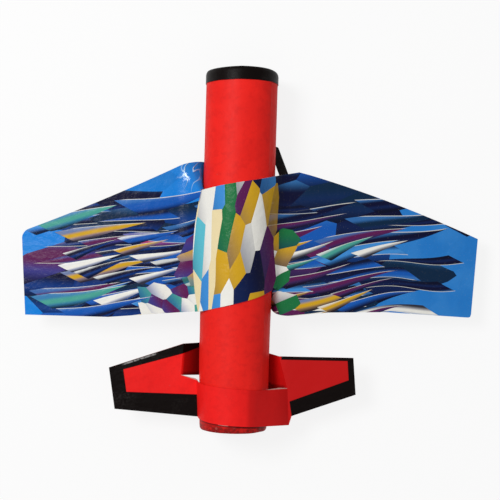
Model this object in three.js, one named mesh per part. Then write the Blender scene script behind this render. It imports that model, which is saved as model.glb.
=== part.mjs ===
// A hand thrown glider: a cardboard tube with a woven card wing and a woven card tail.
// Millimetres. X runs across the span to the right, Y along the tube to the nose, Z up.
// Z = 0 is the table under the card tongues, and the origin stands under the middle of the outline.
// The wing and the tail are cards with slits: one strip passes over the tube and another under it.

import * as THREE from 'three';

const { lerp, degToRad } = THREE.MathUtils;

// The tube and its paper, 45 mm across over the paper where it isn't lapped
const tubeLength = 226;
const tubeDiameter = 45;
const coreWall = 0.9;
const paperThickness = 0.15;
const glueLine = 0.05;
const lapWidth = 12;
const lapRamp = 3;
const lapEdgeStep = 0.3;
const lapEdgeAngle = degToRad(56);

// The tail end of the tube is pressed in, most on its left, and the edge of the paper is curled in
const pressedLength = 20;
const pressedDepth = 2;
const pressedLean = 1.5;
const boardSetBack = 4.5;
const curlLength = 1.8;
const curlDepth = 0.8;

// The tape over the nose rim
const noseTapeOutside = 7.5;
const noseTapeInside = 6;
const noseTapeThickness = 0.2;
const noseTapeFold = 0.2;
const noseTapeRounding = 1;
const coverSetBack = 1;

// The card and its running fit on the tube
const cardThickness = 0.4;
const slideClearance = 0.2;
const seatGap = 0.3;

// The wing's section across the span: how it leaves the tube, bends level and droops
const wingRiseLeft = 3;
const wingRiseRight = 2.5;
const bandBendLeft = 18;
const bandBendRight = 8;
const bandLeaveLeft = degToRad(39);
const bandLeaveRight = degToRad(50);
const droopRadius = 900;

// The wing's outline. Reaches are measured from the tube's axis and outs from the side of the tube.
// Leads are measured forward from the wing datum, its trailing edge at the root.
const wingDatumBehindNose = 152.2;
const wingLeftReach = 136.4;
const leftTipLead = 45.6;
const leftTipTrail = -5.5;
const leftTipRake = 3.5;
const leftTipCorner = 3;
const leftShoulderOut = 14.7;
const leftShoulderLead = 91.9;
const leftEdgeBow = -1.2;
const leftRootLead = 1.1;
const leftTrailKinkReach = 80;
const leftTrailKinkLead = -5.2;

const wingRightReach = 152.6;
const rightTipLead = 50.7;
const rightTipTrail = 0.6;
const rightTipRake = 3.1;
const rightShoulderOut = 20.8;
const rightShoulderLead = 88.2;
const rightEdgeBow = 2.2;
const rightRootLead = -0.8;
const rightTrailInnerReach = 58;
const rightTrailInnerLead = 1.9;
const rightTrailOuterReach = 95;
const rightTrailOuterLead = 2.85;

// The band over the tube and the slits beside it, which end at the roots of the tongues
const bandEndOut = 4.4;
const bandEndBulge = 4.4;
const bandEndFront = 75.9;
const bandEndRear = 0.1;
const bandFrontOut = 14.6;
const bandFrontLead = 89.5;
const rearCutSag = 1.2;
const leftSlitOut = 1.6;
const rightSlitOut = 3.1;
const rightSlitLead = 16.7;
const rightBendOut = 13;

// How the edges of the tongues run on round the tube: by the end of their bend, then beyond it
const tongueEndWidth = 8;
const tongueEndAngle = degToRad(-128);
const roundEndTurn = degToRad(78);
const leftTongueInnerSweep = 0.8;
const leftTongueOuterSweep = 2.6;
const leftTongueInnerDriftShare = 0.06;
const leftTongueOuterDriftShare = -0.14;
const rightTongueInnerSweep = -2.6;
const rightTongueOuterSweep = 5.6;
const rightTongueInnerDriftShare = 0.24;
const rightTongueOuterDriftShare = 0.22;

// The tail. Leads are measured forward from the tail datum, the left end of its slit.
const tailDatumFromTailEnd = 33.2;
const tailRise = 0.3;
const tailLeftReach = 78.7;
const tailLeftTipLead = 3.5;
const tailLeftRearReach = 74.4;
const tailLeftRearLead = -22.5;
const tailLeftCreaseOut = 9.1;
const tailLeftCreaseLead = 19.9;
const tailLeftSlitOut = 10.3;
const tailLeftBendOut = 0.5;
const tailLeftBendLead = -2.9;
const tailLeftHeelLead = -25.8;
const tailRightReach = 77.3;
const tailRightRearLead = -9.2;
const tailRightTipReach = 75.2;
const tailRightTipLead = 14;
const tailRightCreaseOut = 5.3;
const tailRightCreaseLead = 13.6;
const tailRightSlitOut = 11.1;
const tailRightSlitLead = -6.6;
const tailRightHeelOut = 12.5;
const tailRightHeelLead = -29.6;
const tailNotchOut = 14.3;
const tailNotchLead = -23.8;

// Leads of the edges of the tail strips where they meet the tube, on its left and on its right
const frontStripLeadLeft = 20.1;
const frontStripLeadRight = 15;
const frontStripSlitLeft = -1;
const frontStripSlitRight = -10.8;
const rearStripSlitLeft = -3.2;
const rearStripSlitRight = -8.2;
const rearStripHeelLeft = -26.4;
const rearStripHeelRight = -29.8;

// The black tape on the tail: widths at the root and at the tip of each strip
const tapeThickness = 0.15;
const tapeMargin = 0.2;
const leftLeadTapeRoot = 6.2;
const leftLeadTapeTip = 3.5;
const leftLeadTapeEnd = 2.4;
const leftLeadTapeTail = 15;
const leftTipTapeWidth = 8.8;
const leftTrailTapeTip = 11;
const leftTrailTapeRoot = 13.9;
const rightLeadTapeWidth = 2;
const rightTipTapeWidth = 3.8;
const rightTrailTapeTip = 10.1;
const rightTrailTapeRoot = 9.1;
const rightLeadTapeSetOut = 1.5;

// The black brace under the right leading edge
const braceWidth = 6.2;
const braceThickness = 1;
const bracePadLength = 24;
const braceArmLength = 25;
const braceBendOut = 6.1;
const braceBendLead = 86.6;
const braceTurn = degToRad(20);
const braceDip = degToRad(40);

// How finely curves are stepped
const tubeFacets = 72;
const bandFacets = 12;
const bendFacets = 6;
const wrapFacets = 18;
const stripFacets = 4;
const capFacets = 3;
const panelFacets = 7;
const edgeFacets = 5;
const pressedFacets = 5;
const curlFacets = 2;
const foldFacets = 3;
const leastStation = 0.4;

// Worked out from the sizes above
const tubeRadius = tubeDiameter / 2;
const coreRadius = tubeRadius - paperThickness - glueLine;
const boreRadius = coreRadius - coreWall;
const lapRadius = tubeRadius + paperThickness;
const noseEnd = tubeLength / 2;
const rimEnd = noseEnd - noseTapeThickness - glueLine;
const tailEnd = -tubeLength / 2;
const wrapInside = lapRadius + slideClearance;
const wrapRadius = wrapInside + cardThickness / 2;
const axisHeight = wrapInside + cardThickness;
const layer = cardThickness + glueLine;
const bandRiseLeft = wingRiseLeft + layer;

// Reaches of what stands beside the tube, which move out with its side
const beside = (out) => wrapRadius + out;
const leftShoulderReach = beside(leftShoulderOut);
const rightShoulderReach = beside(rightShoulderOut);
const bandEndReach = beside(bandEndOut);
const bandFrontReach = beside(bandFrontOut);
const leftSlitReach = beside(leftSlitOut);
const rightSlitReach = beside(rightSlitOut);
const rightBendReach = beside(rightBendOut);
const tailLeftCreaseReach = beside(tailLeftCreaseOut);
const tailLeftSlitReach = beside(tailLeftSlitOut);
const tailLeftBendReach = beside(tailLeftBendOut);
const tailRightCreaseReach = beside(tailRightCreaseOut);
const tailRightSlitReach = beside(tailRightSlitOut);
const tailRightHeelReach = beside(tailRightHeelOut);
const tailNotchReach = beside(tailNotchOut);
const braceBendReach = beside(braceBendOut);

const board = new THREE.MeshStandardMaterial({ color: 0xb39468, roughness: 0.9, metalness: 0 });
const redPaper = new THREE.MeshStandardMaterial({ color: 0xdd1d1b, roughness: 0.6, metalness: 0 });
const redCard = new THREE.MeshStandardMaterial({ color: 0xe0221f, roughness: 0.55, metalness: 0 });
const blackTape = new THREE.MeshStandardMaterial({ color: 0x14110f, roughness: 0.45, metalness: 0 });
const blackCard = new THREE.MeshStandardMaterial({ color: 0x0e0d0c, roughness: 0.6, metalness: 0 });
const printedCard = new THREE.MeshStandardMaterial({ color: 0x2c6db4, roughness: 0.3, metalness: 0 });

// Shares from 0 to 1 in even steps
function shares(count) {
  return Array.from({ length: count + 1 }, (_, i) => i / count);
}

function point(x, y, z) {
  return new THREE.Vector3(x, y, z);
}

function between(a, b, share) {
  return a.clone().lerp(b, share);
}

// An arch from 0 to 1 and back to 0
function arch(share) {
  return 4 * share * (1 - share);
}

// The place of an edge at one reach, the edge given as corners of [reach, lead]
function along(corners, reach) {
  const sorted = [...corners].sort((a, b) => a[0] - b[0]);
  const next = sorted.findIndex((corner) => reach <= corner[0]);
  if (next < 0) {
    return sorted[sorted.length - 1][1];
  }
  const [from, to] = [sorted[Math.max(next - 1, 0)], sorted[next]];
  const width = to[0] - from[0];
  return width > 0 ? lerp(from[1], to[1], (reach - from[0]) / width) : to[1];
}

// The middle surface of a card as welded triangles, thickened both ways into a closed solid
class Card {
  constructor() {
    this.points = [];
    this.faces = [];
    this.known = new Map();
  }

  add(corner) {
    const key = corner.toArray().map((value) => value.toFixed(6)).join();
    if (!this.known.has(key)) {
      this.known.set(key, this.points.length);
      this.points.push(corner.clone());
    }
    return this.known.get(key);
  }

  triangle(a, b, c) {
    if (a !== b && b !== c && c !== a) {
      this.faces.push([a, b, c]);
    }
  }

  // Rows of points: each row runs along the strip, and the rows follow one another to its left
  grid(rows) {
    const ids = rows.map((row) => row.map((corner) => this.add(corner)));
    ids.slice(1).forEach((upper, j) => {
      upper.slice(1).forEach((corner, i) => {
        this.triangle(ids[j][i], ids[j][i + 1], corner);
        this.triangle(ids[j][i], corner, upper[i]);
      });
    });
  }

  // A level polygon with its upper side up
  level(outline) {
    const ids = outline.map((corner) => this.add(corner));
    const flat = outline.map((corner) => new THREE.Vector2(corner.x, corner.y));
    THREE.ShapeUtils.triangulateShape(flat, []).forEach(([a, b, c]) => {
      const faceUp = THREE.ShapeUtils.area([flat[a], flat[b], flat[c]]) > 0;
      this.triangle(ids[a], ids[faceUp ? b : c], ids[faceUp ? c : b]);
    });
  }

  // Level triangles from one corner to the steps along a line
  fan(corner, line) {
    line.slice(1).forEach((to, i) => this.level([corner, line[i], to]));
  }

  // Normals at the points, lengthened at creases so that the card keeps its thickness there
  normals() {
    const sums = this.points.map(() => new THREE.Vector3());
    const around = this.points.map(() => []);
    this.faces.forEach((face) => {
      const corners = face.map((id) => this.points[id]);
      const normal = new THREE.Triangle(...corners).getNormal(new THREE.Vector3());
      face.forEach((id, i) => {
        const next = corners[(i + 1) % 3].clone().sub(corners[i]);
        const last = corners[(i + 2) % 3].clone().sub(corners[i]);
        sums[id].addScaledVector(normal, next.angleTo(last));
        around[id].push(normal);
      });
    });
    return sums.map((sum, id) => {
      const normal = sum.normalize();
      const least = Math.min(...around[id].map((face) => face.dot(normal)));
      return normal.divideScalar(Math.max(least, 1 / 2));
    });
  }

  // The solid of one thickness, its middle lifted off this surface to lie on another layer
  solid(thickness, lift = 0) {
    const normals = this.normals();
    const count = this.points.length;
    const positions = [];
    [lift + thickness / 2, lift - thickness / 2].forEach((side) => {
      this.points.forEach((corner, id) => {
        positions.push(...corner.clone().addScaledVector(normals[id], side).toArray());
      });
    });
    const triangles = [];
    const edges = new Set();
    this.faces.forEach(([a, b, c]) => {
      triangles.push(a, b, c, count + a, count + c, count + b);
      edges.add(`${a},${b}`).add(`${b},${c}`).add(`${c},${a}`);
    });
    edges.forEach((edge) => {
      const [a, b] = edge.split(',').map(Number);
      if (!edges.has(`${b},${a}`)) {
        triangles.push(a, count + a, count + b, a, count + b, b);
      }
    });
    return fromTriangles(positions, triangles);
  }
}

function fromTriangles(positions, triangles) {
  const geometry = new THREE.BufferGeometry();
  geometry.setAttribute('position', new THREE.Float32BufferAttribute(positions, 3));
  geometry.setIndex(triangles);
  geometry.computeVertexNormals();
  return geometry;
}

// A turned tube part from a closed section of [radius, place along the tube]
function turned(section) {
  const corners = [...section, section[0]].map(([radius, y]) => new THREE.Vector2(radius, y));
  return new THREE.LatheGeometry(corners, tubeFacets);
}

// A wrapped sleeve: closed rings whose radius follows the angle from the top of the tube
function sleeve(angles, rings) {
  const positions = [];
  const triangles = [];
  rings.forEach(({ y, radius }, k) => {
    angles.forEach((angle, m) => {
      positions.push(radius(angle) * Math.sin(angle), y, radius(angle) * Math.cos(angle));
      const next = (m + 1) % angles.length;
      const [here, there] = [k, (k + 1) % rings.length].map((ring) => ring * angles.length);
      triangles.push(here + m, there + m, here + next, here + next, there + m, there + next);
    });
  });
  return fromTriangles(positions, triangles);
}

// How far the wall of the tube is pressed in at one place along it
function pressedIn(y, angle) {
  const share = Math.max((tailEnd + pressedLength - y) / pressedLength, 0);
  return (pressedDepth - pressedLean * Math.sin(angle)) * share ** 2;
}

// A sleeve with a pressed tail end, between two skins and over the stops of { y, curl }, nose first
function pressedSleeve(angles, outer, inner, stops) {
  const ring = (skin) => ({ y, curl }) => {
    return { y, radius: (angle) => skin(angle) - pressedIn(y, angle) - curl };
  };
  return sleeve(angles, [...stops.map(ring(outer)), ...[...stops].reverse().map(ring(inner))]);
}

// Stops along the tube from its nose to where a sleeve ends, with steps where it is pressed in
function stopsTo(front, rear) {
  const pressed = shares(pressedFacets).map((share) => tailEnd + pressedLength * (1 - share));
  return [front, ...pressed.filter((y) => y - rear > leastStation), rear].map((y) => ({ y, curl: 0 }));
}

// The spiral wound board of the tube
function tubeCore() {
  const angles = shares(tubeFacets).slice(1).map((share) => 2 * Math.PI * share);
  const stops = stopsTo(rimEnd, tailEnd + boardSetBack);
  return pressedSleeve(angles, () => coreRadius, () => boreRadius, stops);
}

// The red paper round the board: one edge laps over the other, and the tail end is curled in
function tubeCover() {
  const lapStart = lapEdgeAngle - lapWidth / tubeRadius;
  const lapFacets = Math.ceil((lapWidth * tubeFacets) / (Math.PI * tubeDiameter));
  const from = lapEdgeAngle + lapEdgeStep / tubeRadius;
  const to = lapStart - lapRamp / tubeRadius + 2 * Math.PI;
  const angles = [
    ...shares(lapFacets).map((share) => lerp(lapStart, lapEdgeAngle, share)),
    ...shares(tubeFacets - lapFacets).map((share) => lerp(from, to, share)),
  ];
  const outer = (angle) => (angle <= lapEdgeAngle ? lapRadius : tubeRadius);
  const curl = shares(curlFacets).slice(1).map((share) => {
    return { y: tailEnd + curlLength * (1 - share), curl: curlDepth * share ** 2 };
  });
  const stops = [...stopsTo(rimEnd - coverSetBack, tailEnd + curlLength), ...curl];
  return pressedSleeve(angles, outer, () => coreRadius + glueLine, stops);
}

// The tape folded over the nose rim, round at its outer edge
function noseTape() {
  const outer = lapRadius + glueLine;
  const inner = boreRadius - glueLine;
  const under = rimEnd + glueLine;
  const outerSkin = outer + noseTapeThickness;
  const innerSkin = inner - noseTapeThickness;
  const rounded = shares(foldFacets).map((share) => {
    const turn = (share * Math.PI) / 2;
    return [
      outerSkin - noseTapeRounding * (1 - Math.cos(turn)),
      noseEnd - noseTapeRounding * (1 - Math.sin(turn)),
    ];
  });
  return turned([
    [innerSkin, noseEnd - noseTapeInside],
    [inner, noseEnd - noseTapeInside],
    [inner, under],
    [coreRadius + glueLine, under],
    [outer, under - coverSetBack],
    [outer, noseEnd - noseTapeOutside],
    [outerSkin, noseEnd - noseTapeOutside],
    ...rounded,
    [innerSkin + noseTapeFold, noseEnd],
    [innerSkin, noseEnd - noseTapeFold],
  ]);
}

// One side of the wing's section. It leaves the tube along a tangent, bends level and droops.
// drop puts a card that many millimetres under the band, round the same bend.
function wingSide(leave, bend, rise) {
  const centreHeight = rise + bend;
  const centreReach = (wrapRadius + bend - Math.cos(leave) * centreHeight) / Math.sin(leave);
  const height = (reach, drop = 0) => {
    const radius = bend + drop;
    if (reach > centreReach) {
      const past = reach - centreReach;
      return rise - drop - droopRadius + Math.sqrt(droopRadius ** 2 - past ** 2);
    }
    if (reach > centreReach - radius * Math.sin(leave)) {
      return centreHeight - Math.sqrt(radius ** 2 - (centreReach - reach) ** 2);
    }
    if (reach > wrapRadius * Math.sin(leave) || drop > 0) {
      return (wrapRadius - drop - reach * Math.sin(leave)) / Math.cos(leave);
    }
    return Math.sqrt(wrapRadius ** 2 - reach ** 2);
  };
  const stations = (drop = 0) => shares(bendFacets).map((share) => {
    return centreReach - (bend + drop) * Math.sin(leave * share);
  });
  return { height, stations };
}

const leftSide = wingSide(bandLeaveLeft, bandBendLeft, bandRiseLeft);
const rightSide = wingSide(bandLeaveRight, bandBendRight, wingRiseRight);
const bandHeight = (x) => (x < 0 ? leftSide.height(-x) : rightSide.height(x));
const leftCardHeight = (x) => leftSide.height(-x, layer);

// Stations in order: every fixed one, and each loose one that isn't close beside another
function inOrder(fixed, loose) {
  const kept = [...new Set(fixed)];
  loose.forEach((station) => {
    if (kept.every((other) => Math.abs(other - station) > leastStation)) {
      kept.push(station);
    }
  });
  return kept.sort((a, b) => a - b);
}

// The path of a tongue across its section: a bend that ends against the tube, then round under it
function tonguePath(reach, height) {
  const bend = (reach ** 2 + height ** 2 - wrapRadius ** 2) / (2 * (wrapRadius + height));
  const contact = Math.atan2(height - bend, reach);
  const whole = Math.PI / 2 + contact;
  const bent = shares(bendFacets).map((share) => ({
    reach: reach - bend * Math.sin(whole * share),
    height: height - bend + bend * Math.cos(whole * share),
    share,
    past: 0,
    narrow: 1,
  }));
  const wrapped = (angle, narrow) => ({
    reach: wrapRadius * Math.cos(angle),
    height: wrapRadius * Math.sin(angle),
    share: 1,
    past: wrapRadius * (contact - angle),
    narrow,
  });
  const round = shares(wrapFacets).slice(1).map((share) => {
    return wrapped(lerp(contact, tongueEndAngle, share), 1);
  });
  const cap = shares(capFacets).slice(1).map((share) => {
    const turn = share * roundEndTurn;
    return wrapped(tongueEndAngle - (tongueEndWidth / 2 / wrapRadius) * Math.sin(turn), Math.cos(turn));
  });
  return [...bent, ...round, ...cap];
}

// A tongue from its bend line of [reach, lead, height], slit end first. side is 1 on the right.
function addTongue(card, side, line, inner, outer) {
  const paths = line.map(([reach, , height]) => tonguePath(reach, height));
  const last = line.length - 1;
  const edge = (row, index, { sweep, driftShare, power }) => {
    const stop = paths[row][index];
    return line[row][1] + sweep * stop.share ** power + driftShare * stop.past;
  };
  card.grid(paths.map((path, row) => path.map((stop, index) => {
    if (index === 0) {
      return point(side * stop.reach, line[row][1], stop.height);
    }
    const across = (line[row][1] - line[0][1]) / (line[last][1] - line[0][1]);
    const [from, to] = [edge(0, index, inner), edge(last, index, outer)];
    const narrowed = 1 / 2 + (across - 1 / 2) * stop.narrow;
    return point(side * stop.reach, lerp(from, to, narrowed), stop.height);
  })));
}

// The right card of the wing: its panel, the band over the tube and the rear tongue under it
function wingRight() {
  const bandCorner = bandEndBulge - bandEndReach;
  const rightTipRear = wingRightReach - rightTipRake;
  const stations = inOrder([
    ...shares(edgeFacets).map((share) => bandEndBulge * share ** 2 - bandEndReach),
    bandCorner,
    rightSlitReach,
    rightBendReach,
    bandFrontReach,
    rightShoulderReach,
    rightTrailInnerReach,
    rightTrailOuterReach,
    rightTipRear,
    wingRightReach,
  ], [
    ...leftSide.stations().map((reach) => -reach).filter((x) => x > -bandEndReach),
    ...shares(bandFacets).map((share) => {
      return wrapRadius * Math.sin(lerp(-bandLeaveLeft, bandLeaveRight, share));
    }),
    ...rightSide.stations(),
    (rightSlitReach + rightBendReach) / 2,
    (rightBendReach + rightSide.stations()[0]) / 2,
    ...shares(panelFacets).map((share) => lerp(rightShoulderReach, wingRightReach, share)),
  ]);

  // The length run along the band, on which the cuts are straight
  const runs = [];
  stations.forEach((x, i) => {
    const before = i > 0 ? stations[i - 1] : x;
    const rise = bandHeight(x) - bandHeight(before);
    runs.push([x, (i > 0 ? runs[i - 1][1] : 0) + Math.hypot(x - before, rise)]);
  });
  const runShare = (x, end) => {
    const start = along(runs, bandCorner);
    return (along(runs, x) - start) / (along(runs, end) - start);
  };
  const endArch = (x) => {
    return ((bandEndFront - bandEndRear) / 2) * Math.sqrt((x + bandEndReach) / bandEndBulge);
  };
  const endMiddle = (bandEndFront + bandEndRear) / 2;

  const front = (x) => {
    if (x < bandCorner) {
      return endMiddle + endArch(x);
    }
    if (x < bandFrontReach) {
      return lerp(bandEndFront, bandFrontLead, runShare(x, bandFrontReach));
    }
    const out = (x - rightShoulderReach) / (wingRightReach - rightShoulderReach);
    return rightEdgeBow * arch(Math.max(out, 0)) + along([
      [bandFrontReach, bandFrontLead],
      [rightShoulderReach, rightShoulderLead],
      [wingRightReach, rightTipLead],
    ], x);
  };
  const rear = (x) => {
    if (x < bandCorner) {
      return endMiddle - endArch(x);
    }
    if (x < rightSlitReach) {
      const out = runShare(x, rightSlitReach);
      return lerp(bandEndRear, rightSlitLead, out) - rearCutSag * arch(out);
    }
    return along([
      [rightSlitReach, rightSlitLead],
      [rightBendReach, rightRootLead],
      [rightTrailInnerReach, rightTrailInnerLead],
      [rightTrailOuterReach, rightTrailOuterLead],
      [rightTipRear, rightTipTrail],
      [wingRightReach, rightTipLead],
    ], x);
  };

  const card = new Card();
  card.grid([rear, front].map((edge) => stations.map((x) => point(x, edge(x), bandHeight(x)))));
  const line = stations.filter((x) => x >= rightSlitReach && x <= rightBendReach);
  addTongue(
    card,
    1,
    line.map((x) => [x, rear(x), bandHeight(x)]),
    { sweep: rightTongueInnerSweep, driftShare: rightTongueInnerDriftShare, power: 1 },
    { sweep: rightTongueOuterSweep, driftShare: rightTongueOuterDriftShare, power: 3.4 },
  );
  return card.solid(cardThickness);
}

// The left card of the wing: its root is tucked under the band, its front tongue goes under the tube
function wingLeft() {
  const lowest = wrapRadius - layer - cardThickness / 2;
  const tuck = Math.sqrt(wrapRadius ** 2 - lowest ** 2);
  const root = (wrapRadius - layer) * Math.sin(bandLeaveLeft) + tuck * Math.cos(bandLeaveLeft);
  const tipFront = wingLeftReach - leftTipCorner;
  const tipRear = wingLeftReach - leftTipRake;
  const stations = inOrder([
    root,
    leftSlitReach,
    leftShoulderReach,
    leftTrailKinkReach,
    tipRear,
    tipFront,
    wingLeftReach,
  ], [
    ...leftSide.stations(layer),
    ...shares(panelFacets).map((share) => lerp(leftShoulderReach, wingLeftReach, share)),
  ]).map((reach) => -reach).reverse();

  const front = (x) => {
    const out = (-x - leftShoulderReach) / (tipFront - leftShoulderReach);
    return leftEdgeBow * arch(Math.min(Math.max(out, 0), 1)) + along([
      [root, bandEndFront],
      [leftSlitReach, bandEndFront],
      [leftShoulderReach, leftShoulderLead],
      [tipFront, leftTipLead + leftTipCorner],
      [wingLeftReach, leftTipLead],
    ], -x);
  };
  const rear = (x) => along([
    [root, leftRootLead],
    [leftSlitReach, bandEndRear],
    [leftTrailKinkReach, leftTrailKinkLead],
    [tipRear, leftTipTrail],
    [wingLeftReach, leftTipLead],
  ], -x);

  const card = new Card();
  card.grid([rear, front].map((edge) => stations.map((x) => point(x, edge(x), leftCardHeight(x)))));
  const line = stations.filter((x) => -x >= leftSlitReach && -x <= leftShoulderReach).reverse();
  addTongue(
    card,
    -1,
    line.map((x) => [-x, front(x), leftCardHeight(x)]),
    { sweep: leftTongueInnerSweep, driftShare: leftTongueInnerDriftShare, power: 1 },
    { sweep: leftTongueOuterSweep, driftShare: leftTongueOuterDriftShare, power: 1 / 2 },
  );
  return card.solid(cardThickness);
}

// The brace: a pad under the right panel and an arm that dips beside the tube to a round end
function wingBrace() {
  const ahead = new THREE.Vector2(-Math.sin(braceTurn), Math.cos(braceTurn));
  const beside = new THREE.Vector2(-ahead.y, ahead.x);
  const outerCorner = braceBendReach + bracePadLength * Math.sin(braceTurn) + braceWidth;
  const level = bandHeight(outerCorner) - cardThickness / 2 - seatGap - braceThickness / 2;
  const cap = shares(capFacets).slice(1).map((share) => share * roundEndTurn);
  const stops = [
    { run: -bracePadLength, narrow: 1 },
    { run: 0, narrow: 1 },
    { run: braceArmLength - braceWidth / 2, narrow: 1 },
    ...cap.map((turn) => ({
      run: braceArmLength - (braceWidth / 2) * (1 - Math.sin(turn)),
      narrow: Math.cos(turn),
    })),
  ];
  const card = new Card();
  card.grid([-1, 1].map((side) => stops.map(({ run, narrow }) => {
    const dip = Math.max(run, 0);
    const length = run < 0 ? run : run * Math.cos(braceDip);
    const across = (side * narrow * braceWidth) / 2;
    return point(
      braceBendReach + ahead.x * length + beside.x * across,
      braceBendLead + ahead.y * length + beside.y * across,
      level - dip * Math.sin(braceDip),
    );
  })));
  return card.solid(braceThickness);
}

// An edge of a tail strip from its left bend, over or under the tube, to its right bend.
// It runs straight to where it meets the tube, at the two leads given, and round between them.
function stripEdge(left, right, over, leftLead, rightLead) {
  const half = (end) => Math.acos(wrapRadius / Math.hypot(end.x, end.z));
  const from = Math.atan2(left.z, left.x) - over * half(left);
  const to = Math.atan2(right.z, right.x) + over * half(right) + (over > 0 ? 0 : 2 * Math.PI);
  const round = shares(wrapFacets).map((share) => {
    const angle = lerp(from, to, share);
    const lead = lerp(leftLead, rightLead, share);
    return point(wrapRadius * Math.cos(angle), lead, wrapRadius * Math.sin(angle));
  });
  return [left, ...round, right];
}

// The corners of the tail card where it is level
const tailCorner = (reach, lead) => point(reach, lead, tailRise);
const leftSlit = tailCorner(-tailLeftSlitReach, 0);
const leftCrease = tailCorner(-tailLeftCreaseReach, tailLeftCreaseLead);
const leftTip = tailCorner(-tailLeftReach, tailLeftTipLead);
const leftRear = tailCorner(-tailLeftRearReach, tailLeftRearLead);
const leftHeel = tailCorner(-tailLeftBendReach, tailLeftHeelLead);
const leftBend = tailCorner(-tailLeftBendReach, tailLeftBendLead);
const rightSlit = tailCorner(tailRightSlitReach, tailRightSlitLead);
const rightCrease = tailCorner(tailRightCreaseReach, tailRightCreaseLead);
const rightTip = tailCorner(tailRightTipReach, tailRightTipLead);
const rightRear = tailCorner(tailRightReach, tailRightRearLead);
const rightNotch = tailCorner(tailNotchReach, tailNotchLead);
const rightHeel = tailCorner(tailRightHeelReach, tailRightHeelLead);

// A line along the front strip, at a share of the way from its slit to its front edge
function frontStripLine(share) {
  return stripEdge(
    between(leftSlit, leftCrease, share),
    between(rightSlit, rightCrease, share),
    -1,
    lerp(frontStripSlitLeft, frontStripLeadLeft, share),
    lerp(frontStripSlitRight, frontStripLeadRight, share),
  );
}

// The red card of the tail: two level panels, a front strip under the tube and a rear strip over it
function tailSheet() {
  const frontStrip = shares(stripFacets).map(frontStripLine);
  const card = new Card();
  card.grid(frontStrip);
  card.fan(leftTip, frontStrip.map((line) => line[0]));
  card.fan(rightTip, frontStrip.map((line) => line[line.length - 1]));
  card.level([leftSlit, leftTip, leftRear, leftHeel, leftBend]);
  card.level([rightSlit, rightHeel, rightNotch, rightRear, rightTip]);
  card.grid([
    stripEdge(leftHeel, rightHeel, 1, rearStripHeelLeft, rearStripHeelRight),
    stripEdge(leftBend, rightSlit, 1, rearStripSlitLeft, rearStripSlitRight),
  ]);
  return card.solid(cardThickness);
}

// The line at two distances inside the edge from a to b, on the side of the middle point
function inset(a, b, middle, atA, atB) {
  const normal = b.clone().sub(a).cross(point(0, 0, 1)).normalize();
  if (normal.dot(middle.clone().sub(a)) < 0) {
    normal.negate();
  }
  return [a.clone().addScaledVector(normal, atA), b.clone().addScaledVector(normal, atB)];
}

// Where two level lines cross
function crossing([a, b], [c, d]) {
  const [first, second] = [b.clone().sub(a), d.clone().sub(c)];
  const apart = c.clone().sub(a);
  const share = apart.cross(second).z / first.clone().cross(second).z;
  return a.clone().addScaledVector(first, share);
}

function towards(a, b, distance) {
  return a.clone().addScaledVector(b.clone().sub(a).normalize(), distance);
}

function tape(outline, slope = []) {
  const card = new Card();
  card.level(outline);
  if (slope.length > 0) {
    card.grid(slope);
  }
  return card.solid(tapeThickness, (cardThickness + tapeThickness) / 2 + glueLine);
}

// The three strips of tape on the left half, mitred where they meet.
// The leading one runs on down the front strip until the tube hides it.
function leftTapes() {
  const middle = between(leftSlit, leftTip, 1 / 2);
  const creaseInner = towards(leftCrease, leftSlit, leftLeadTapeRoot);
  const lead = [creaseInner, inset(leftCrease, leftTip, middle, 0, leftLeadTapeTip)[1]];
  const tip = inset(leftTip, leftRear, middle, leftTipTapeWidth, leftTipTapeWidth);
  const heel = point(leftHeel.x - tapeMargin, leftHeel.y, leftHeel.z);
  const trail = inset(leftRear, heel, middle, leftTrailTapeTip, leftTrailTapeRoot);
  const heelInner = crossing(trail, [heel, point(heel.x, 0, heel.z)]);
  const frontCorner = crossing(lead, tip);
  const rearCorner = crossing(trail, tip);
  const creaseLength = leftSlit.distanceTo(leftCrease);
  const slope = [[leftLeadTapeRoot, leftLeadTapeEnd], [0, 0]].map(([root, end]) => {
    return shares(stripFacets).map((share) => {
      const [start, contact] = frontStripLine(1 - lerp(root, end, share) / creaseLength);
      return towards(start, contact, leftLeadTapeTail * share);
    });
  });
  return {
    lead: tape([leftCrease, leftTip, frontCorner, creaseInner], slope),
    tip: tape([leftTip, leftRear, rearCorner, frontCorner]),
    trail: tape([leftRear, heel, heelInner, rearCorner]),
  };
}

// The three strips of tape on the right half
function rightTapes() {
  const middle = between(rightSlit, rightTip, 1 / 2);
  const root = towards(rightCrease, rightTip, rightLeadTapeSetOut);
  const lead = inset(root, rightTip, middle, rightLeadTapeWidth, rightLeadTapeWidth);
  const tip = inset(rightTip, rightRear, middle, rightTipTapeWidth, rightTipTapeWidth);
  const trail = inset(rightRear, rightNotch, middle, rightTrailTapeTip, rightTrailTapeRoot);
  const slitSide = point(rightSlit.x + tapeMargin, rightSlit.y, rightSlit.z);
  const notchInner = crossing(trail, [rightNotch, slitSide]);
  const frontCorner = crossing(lead, tip);
  const rearCorner = crossing(trail, tip);
  return {
    lead: tape([root, rightTip, frontCorner, lead[0]]),
    tip: tape([rightTip, rightRear, rearCorner, frontCorner]),
    trail: tape([rightRear, rightNotch, notchInner, rearCorner]),
  };
}

const glider = new THREE.Group();
glider.position.set((wingLeftReach - wingRightReach) / 2, 0, axisHeight);

function addPiece(parent, name, geometry, material) {
  const mesh = new THREE.Mesh(geometry, material);
  mesh.name = name;
  parent.add(mesh);
}

addPiece(glider, 'tube_core', tubeCore(), board);
addPiece(glider, 'tube_cover', tubeCover(), redPaper);
addPiece(glider, 'nose_tape', noseTape(), blackTape);

const wing = new THREE.Group();
wing.position.y = noseEnd - wingDatumBehindNose;
glider.add(wing);
addPiece(wing, 'wing_right', wingRight(), printedCard);
addPiece(wing, 'wing_left', wingLeft(), printedCard);
addPiece(wing, 'wing_brace', wingBrace(), blackCard);

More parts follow.
